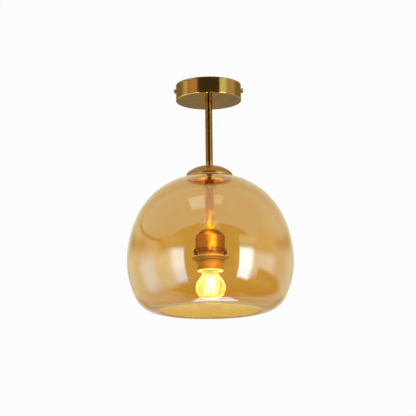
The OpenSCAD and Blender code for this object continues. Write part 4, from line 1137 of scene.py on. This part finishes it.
ring = {"radius": 28.5, "thickness": 1.8, "collar": 23.0, "height": 5.0, "bore": 20.35, "ribs": 48,
        "ribDepth": 0.35, "threadDepth": 0.5}
ringTop, ringR, collar = level["ringTop"], ring["radius"], ring["collar"]
ringEnd, flangeEnd = ringTop - ring["height"], ringTop - ring["thickness"]
path = roundPath([(ring["bore"], ringTop, 0.3), (ringR, ringTop, 0.8), (ringR, flangeEnd, 0.8),
                  (collar, flangeEnd, 0.6), (collar, ringEnd, 0.5), (ring["bore"], ringEnd, 0.3)], steps=7)


def ringThread(r, z):
    return ring["threadDepth"] * fade(z, ringTop - 0.4, ringEnd + 0.4, 0.4) if r < 20.6 else 0


def ringRibs(r, z):
    return ring["ribDepth"] if abs(r - collar) < 0.1 and z < flangeEnd - 0.7 else 0


path = finePath(path, ringTop - 0.4, ringEnd + 0.3, holder["rowStep"])
fit(turned("shadeRing", path, holderGold, segments=240, pitch=holder["pitch"], knurls=ring["ribs"],
           thread=ringThread, knurl=ringRibs), "shade_ring")
print("lampholder turned")

# bulb: globe, screw cap, glass mount, wires and filaments
bulb = {"globe": 22.5, "neck": 12.3, "blend": 10.0, "glass": 0.8, "cap": 13.0, "capWall": 0.4,
        "capShoulder": 1.6, "capFlare": 0.3, "rowStep": 0.38, "stalk": 2.6, "wire": 0.35}
globeZ, neckTop, mountEnd = level["globe"], level["neckTop"], level["mountEnd"]


def bulbOutline(depth):
    # the glass from its neck round to the pole, depth inside the outer face
    neck, blend, globe = bulb["neck"], bulb["blend"], bulb["globe"]
    blendX = neck + blend
    blendY = sqrt((globe + blend) ** 2 - blendX ** 2)
    blendA = heading(blendX, blendY)
    path = [(neck - depth, neckTop)]
    path += arcPath((blendX, globeZ + blendY), blend + depth, 180, 180 + blendA, 14)
    path += arcPath((0, globeZ), globe - depth, blendA * 0.96, -90, 44)
    return path[:-1] + [(0, path[-1][1])]


fit(turned("bulbGlobe", bulbOutline(bulb["glass"])[::-1] + bulbOutline(0), bulbGlass, segments=144, angle=60),
    "bulb_glass", "bulb")

capTop, capEnd, capR = level["bulbCapTop"], level["capEnd"], bulb["cap"]
neckR, flareFrom = capR - bulb["capShoulder"], capEnd + 1.4
path = roundPath([(neckR, capTop, 0), (capR, capTop - 2, 1), (capR, flareFrom, 0),
                  (capR + bulb["capFlare"], capEnd, 0)], steps=6, closed=False)
path = finePath(path, capTop - 2, flareFrom, bulb["rowStep"], closed=False)
fit(turned("bulbScrewCap", path + shiftPath(path, -bulb["capWall"])[::-1], nickelPlate, segments=120,
           pitch=bulbThread["pitch"],
           thread=lambda r, z: bulbThread["depth"] * fade(z, capTop - 2.6, neckTop + 0.9, 2.0)),
    "bulb_cap", "bulb")
bulbTip = {"seat": 5.2, "shoulder": 7.4, "solder": 4.8, "height": 1.2, "dome": 10.4, "domeFrom": 62.6}
tip, solderR = level["tipTop"] - bulbTip["height"], bulbTip["solder"]
path = roundPath([(0, tip, 0), (bulbTip["seat"], tip, 0.5), (bulbTip["shoulder"], tip - 1, 0.5),
                  (neckR, capTop, 0.1), (0, capTop, 0)], steps=5)
fit(turned("bulbInsulator", path, blackGlass), "bulb_insulator", "bulb")
domeC = (0, tip + bulbTip["height"] - bulbTip["dome"])
path = [(0, tip), (solderR, tip), (solderR, tip + 0.25)]
path += arcPath(domeC, bulbTip["dome"], bulbTip["domeFrom"], 90, 10)[:-1] + [(0, tip + bulbTip["height"])]
fit(turned("tipSolder", path, solder, segments=64, waviness=0.35, waveScale=2.2),
    "tip_contact", "bulb_tip")

flareR, stalk = bulb["neck"] - bulb["glass"] - 0.05, bulb["stalk"]
flareTop, flareEnd = level["flareTop"], level["flareTop"] - 0.8
path = [(0, flareTop), (flareR, flareTop), (flareR, flareEnd)]
path += arcPath((flareR, flareEnd - (flareR - stalk)), flareR - stalk, 95, 180, 18)
path += [(stalk, mountEnd + 0.9), (stalk - 0.35, mountEnd + 0.25), (stalk - 0.9, mountEnd), (0, mountEnd)]
fit(turned("bulbMount", path, clearGlass, segments=72), "bulb_mount", "bulb")

filament = {"count": 4, "radius": 1.1, "topR": 3.6, "footR": 8.0, "length": 28.0, "neck": 0.42,
            "shoulder": 0.8, "chips": 28, "chipDip": 0.07}
topR, footR, length = filament["topR"], filament["footR"], filament["length"]
lean = asin((footR - topR) / length)
topZ = mountEnd + 0.5
footZ = topZ - length * cos(lean)
post = rods("supportPost", [[(0, 0, mountEnd + 1), (0, 0, footZ - 1)]], bulb["wire"], nickelPlate, sides=12)
footArm = [(0.1, 0, footZ - 1.0), (footR * 0.6, 0, footZ - 0.7), (footR, 0, footZ - 0.6)]
topArm = [(1.4, 0, mountEnd + 1.5), (topR * 0.75, 0, mountEnd + 1.35), (topR, 0, topZ + 0.6)]
arms = rods("supportArms", [smoothPath(footArm, 2), smoothPath(topArm, 2)], bulb["wire"], nickelPlate,
            sides=12, copies=filament["count"])
fit(joined("supportWires", [post, arms]), "support_wires", "bulb")


def filamentOutline():
    half, r, chips = length / 2, filament["radius"], filament["chips"]
    neck, shoulder = r * filament["neck"], r * filament["shoulder"]
    path = [(0, half), (neck, half), (neck, half - 1.3), (shoulder, half - 1.5)]
    path += [(r * (1 - filament["chipDip"] * (i % 2)), half - 2.0 - i * (2 * half - 4.0) / chips)
             for i in range(chips + 1)]
    return path + [(shoulder, -half + 1.5), (neck, -half + 1.3), (neck, -half), (0, -half)]


strips = []
middle = Matrix.Translation(((topR + footR) / 2 * mm, 0, (topZ + footZ) / 2 * mm))
middle = middle @ Matrix.Rotation(-lean, 4, "Y")
for i in range(filament["count"]):
    place = Matrix.Rotation((i + 0.5) * 2 * pi / filament["count"], 4, "Z") @ middle
    strips.append(turned("filament%d" % i, filamentOutline(), filamentGlow, segments=32, move=place))
fit(joined("ledFilaments", strips), "filaments", "bulb")
print("bulb built")

# leads: insulated wires from the terminals down the stems
lead = {"radius": 1.0, "mouth": -15.9, "poleZ": -9.4, "blockFront": 15.0, "stemX": 1.1, "screwX": 9.5,
        "sides": 20}
poleZ, front, mouth = lead["poleZ"], lead["blockFront"], lead["mouth"]


def poleRoute(x):
    return [(x, front + 3, poleZ), (x, front - 1, poleZ)]


def stemRoute(side):
    x, coverTop = side * lead["stemX"], level["coreTop"] + 2
    heights = (mouth, -60, level["capTop"], level["stemTop"], -200, bossEnd, bossEnd - 1.2)
    return [(x, 0, z) for z in heights] + [(side * 1.9, 0, bossEnd - 2.6), (side * 3.6, 0, coverTop + 0.2),
                                           (side * (lead["screwX"] - 2.8), 0, coverTop)]


liveRoute = poleRoute(-15) + [(-12, 10.5, poleZ - 0.4), (-6.6, 4.6, poleZ - 1.6), (-2.6, 0.8, mouth + 2)]
neutralRoute = poleRoute(-5) + [(-3.8, 10, poleZ - 0.4), (-0.4, 4.6, poleZ - 1.6), (1.2, 0.9, mouth + 2)]
earthRoute = poleRoute(5) + [(6, 11, poleZ - 0.4), (9, 8.4, poleZ - 0.4), (12.4, 8.6, poleZ + 0.4),
                             (14.5, 11.4, poleZ + 2), (14.5, 14.0, -6.6), (14.5, 18.0, -6.6)]
for kind, color, material, route in (("live", "brown", brownInsulation, liveRoute + stemRoute(-1)),
                                     ("neutral", "blue", blueInsulation, neutralRoute + stemRoute(1)),
                                     ("earth", "earth", earthInsulation, earthRoute)):
    piece = rods(kind + "Lead", [smoothPath(route)], lead["radius"], material, sides=lead["sides"])
    fit(piece, kind + "_lead")
print("leads laid")

# sheet parts with broken edges, and CAD nodes that keep their shape
for name, node, material, slot, width in (
        ("ceilingBracket", "ceiling_bracket", zincSteel, "zinc_steel", 0.35),
        ("terminalBlock", "terminal_block", ivoryPlastic, "ivory_plastic", 0.3),
        ("canopyWasher", "canopy_washer", zincSteel, "zinc_steel", 0.12),
        ("contactTongue", "centre_contact", plainBrass, "plain_brass", 0.1)):
    fit(softened(name, node, material, width), node)
carried = {"earth_screw": plainBrass, "earth_washer": zincSteel, "earth_tag": tinnedCopper,
           "terminal_clamps": plainBrass, "terminal_screws": zincSteel, "block_screw": zincSteel,
           "holder_screws": zincSteel, "driver_board": boardGreen}
for node, material in carried.items():
    for place in nodes[node].material_slots:
        place.material = material
print("carried nodes dressed")

visible = [o for o in bpy.data.objects if o.type == "MESH" and not o.hide_render]
print("visible pieces:", len(visible), "faces:", sum(len(o.data.polygons) for o in visible))
